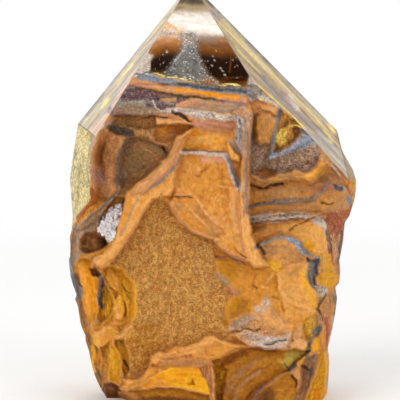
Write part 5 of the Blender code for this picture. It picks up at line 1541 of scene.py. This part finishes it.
def sandy(look, colour):
    """A colour with pale and dark grains of sand, where the face is sandy."""
    coarse, fine = look.grain(1.2, 3.0, 0.6), look.grain(2.6, 5.0, 0.8)
    specks = look.plus(look.times(coarse, 0.3), look.times(fine, 0.7))
    grains = look.stir(look.step(specks, 0.42, 0.59), (0.79, 0.52, 0.34, 1), (1.24, 1.47, 1.8, 1))
    return look.stir(look.mask("sand"), colour, look.dyed(colour, grains))


def sugary(look, colour):
    """A colour with pits and bright crystals where the face is sugary, and spangled where it is polished."""
    first, second, _ = look.node("SeparateColor", {0: look.crystals("Color")})
    clots = look.plus(look.times(first, 0.5), look.grain(0.9, 6.0, 0.75))
    pits = look.stir(look.step(clots, 0.5, 1.0), (0.6, 0.54, 0.54, 1), (1.16, 1.16, 1.16, 1))
    bright = look.step(second, 0.75, 1.0, 0.0, 0.22)
    sugar = look.stir(bright, look.dyed(colour, pits), (0.8, 0.77, 0.76, 1))
    frosted = look.times(look.times(look.mask("gloss"), look.mask("sugar")), 1.1)
    colour = look.stir(look.mask("sugar"), colour, sugar)
    return look.stir(look.times(frosted, look.step(second, 0.9, 1.0)), colour, (0.75, 0.74, 0.72, 1))


def golden(look, colour):
    """A colour with leaves of golden fibre, where the face is golden; their near-white tops are painted
    glare highlights.
    """
    leaf = look.grain(0.85, 4.0, 0.6, 1.6, look.drawn_out((1.0, 0.24, 0.8), (0.0, 0.5, 0.0)))
    gilt = look.stir(look.step(leaf, 0.38, 0.46), (0.34, 0.3, 0.25, 1), (1.0, 0.93, 0.74, 1))
    # Painted highlight: the brightest leaves are lifted towards white, as glare.
    gilt = look.stir(look.step(leaf, 0.5, 0.6), gilt, (1.4, 1.46, 1.7, 1))
    return look.stir(look.times(look.mask("gold"), 0.9), colour, look.dyed(look.tint(), gilt))


def banded(look, colour):
    """A colour with the thin bands of the side facets."""
    bands = look.step(slope_bands(look), 0.3, 0.7)
    return look.dyed(colour, look.stir(bands, (0.62, 0.58, 0.56, 1), (1.34, 1.32, 1.26, 1)))


def stone_colour(look, with_bands):
    """The stone's tint with its clouds, fibres, sand, sugar, gold, bands and chips."""
    clouds = look.stir(look.grain(0.9, 8.0, 0.7), (0.45, 0.39, 0.34, 1), (1.62, 1.62, 1.58, 1))
    colour = look.dyed(look.tint(), clouds)
    for texture in (fibrous, sandy, sugary, golden):
        colour = texture(look, colour)
    if with_bands:
        colour = banded(look, colour)
    chips = look.step(look.grain(1.1, 3.0, 0.6), 0.66, 0.7)
    return look.stir(look.times(look.mask("chips"), chips), colour, (0.5, 0.45, 0.4, 1))


def stone_relief(look, polished):
    """The stone's fine relief, none of it on the polished faces."""
    dull = look.count("SUBTRACT", 1.0, polished)
    normal = look.raise_by(look.times(look.grain(0.8, 8.0, 0.62), dull), 0.0013)
    normal = look.raise_by(look.times(look.grain(2.1, 4.0, 0.7), look.mask("sand")), 0.0011, normal)
    sugar = look.times(look.crystals("Distance"), look.mask("sugar"))
    normal = look.raise_by(look.times(sugar, dull), 0.0004, normal)
    threads = look.grain(1.0, 3.0, where=look.drawn_out((3.2, 3.2, 0.3), FIBRE_TURN))
    return look.raise_by(look.times(look.times(threads, look.mask("fibre")), dull), 0.0004, normal)


def stone_material(name, sheen, with_bands=False):
    """Tiger's eye: silky and dull where it broke, like glass where it is polished."""
    look = Finish(name)
    look.give("Specular IOR Level", sheen)
    look.give("IOR", QUARTZ_IOR)
    look.give("Base Color", stone_colour(look, with_bands))
    dull = look.step(look.grain(1.4, 4.0), 0.3, 0.7, 0.5, 0.78)
    dull = look.times(dull, look.step(look.mask("gold"), 0.0, 1.0, 1.0, 0.5))
    shine = look.step(look.mask("gloss"), 0.25, 0.95)
    dull = look.times(dull, look.count("SUBTRACT", 1.0, shine))
    look.give("Roughness", look.plus(dull, look.times(shine, POLISHED_ROUGHNESS)))
    look.give("Normal", stone_relief(look, shine))
    return look.material


def quartz_material():
    """Small milky crystals, a few of them stained."""
    look = Finish("pocket_quartz")
    stain = look.step(look.grain(0.35, 3.0), 0.45, 0.7)
    look.give("Base Color", look.stir(stain, (0.97, 0.95, 0.94, 1), (0.86, 0.68, 0.66, 1)))
    look.give("Roughness", look.step(look.grain(1.5, 2.0), 0.3, 0.7, 0.12, 0.35))
    look.give("IOR", QUARTZ_IOR)
    look.give("Subsurface Weight", 0.5)
    look.give("Subsurface Radius", (0.002, 0.0018, 0.0017))
    look.give("Subsurface Scale", 0.6)
    look.give("Normal", look.raise_by(look.grain(3.0, 2.0), 0.00008))
    return look.material


# ---- the studio ----


def floor_material():
    """A pale floor that fades into the white of the room around it."""
    look = Finish("pale_floor")
    away = look.node("VectorMath", {0: look.plain}, operation="LENGTH")["Value"]
    away = look.step(away, 100.0, 550.0)
    look.give("Base Color", look.stir(away, (0.9, 0.9, 0.89, 1), (0.0, 0.0, 0.0, 1)))
    look.give("Emission Color", (1.0, 1.0, 1.0, 1))
    look.give("Emission Strength", away)
    look.give("Roughness", 0.8)
    look.give("Specular IOR Level", 0.0)
    return look.material


def lay_floor():
    """A plain pale floor."""
    form = bmesh.new()
    bmesh.ops.create_grid(form, x_segments=2, y_segments=2, size=2.5)
    return keep_piece(form, "floor", floor_material())


def hang_panel(name, centre, aim, wide, tall, power):
    """A soft light panel at a place, turned towards another."""
    lamp = bpy.data.lights.new(name, "AREA")
    lamp.shape = "RECTANGLE"
    lamp.size, lamp.size_y, lamp.energy = wide, tall, power
    panel = bpy.data.objects.new(name, lamp)
    centre = Vector(centre)
    turn = (Vector(aim) - centre).to_track_quat("-Z", "Y").to_matrix().to_4x4()
    panel.matrix_world = Matrix.Translation(centre) @ turn
    bpy.context.scene.collection.objects.link(panel)


def light_room():
    """A white room with a dark patch that the front facet mirrors, so that the black lenses stay black."""
    world = bpy.data.worlds.new("studio")
    world.use_nodes = True
    bpy.context.scene.world = world
    room = Recipe(world.node_tree)
    way = room.node("TexCoord", {})["Generated"]
    facing = room.node("VectorMath", {0: way, 1: DARK_PATCH}, operation="DOT_PRODUCT")["Value"]
    backdrop = room.nodes["Background"].inputs
    room.feed(backdrop["Strength"], room.step(facing, 0.72, 0.93, ROOM_LIGHT, 0.02))
    room.feed(backdrop["Color"], (1.0, 1.0, 1.0, 1))


def hang_lights():
    """Two soft panels in front, one overhead, and the thin strip that the front facet mirrors."""
    aim = (0.0, 0.0, 0.06)
    hang_panel("left_panel", (-0.75, -0.7, 0.85), aim, 0.7, 0.7, 6.0)
    hang_panel("right_panel", (0.8, -0.75, 0.75), aim, 0.6, 0.6, 2.5)
    hang_panel("top_panel", (0.05, 0.15, 1.2), aim, 0.7, 0.6, 2.0)
    hang_panel("strip", (-0.006, -0.216, 0.558), (-0.006, -0.002, 0.107), 0.34, 0.0135, 0.19)


def place_camera():
    """The camera at VIEW_POINT, looking a little down."""
    lens = bpy.data.cameras.new("camera")
    lens.sensor_width = 36.0
    lens.lens = FOCAL_LENGTH
    camera = bpy.data.objects.new("camera", lens)
    camera.location = Vector(VIEW_POINT) * MM
    camera.rotation_euler = (math.radians(90.0 - VIEW_PITCH), 0.0, 0.0)
    bpy.context.scene.collection.objects.link(camera)
    bpy.context.scene.camera = camera


# ---- the scene ----

place_camera()
light_room()
hang_lights()
floor = lay_floor()

stone = carve_stone([
    stone_material("broken_tigers_eye", 0.2), stone_material("polished_tigers_eye", 0.36),
    stone_material("polished_side", 0.08, with_bands=True), stone_material("polished_back", 0.3),
])
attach(stone, "root")
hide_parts(STONE_NODE)

quartz = grow_quartz(quartz_material())
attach(quartz, "root")

bpy.context.scene.view_settings.view_transform = "Standard"
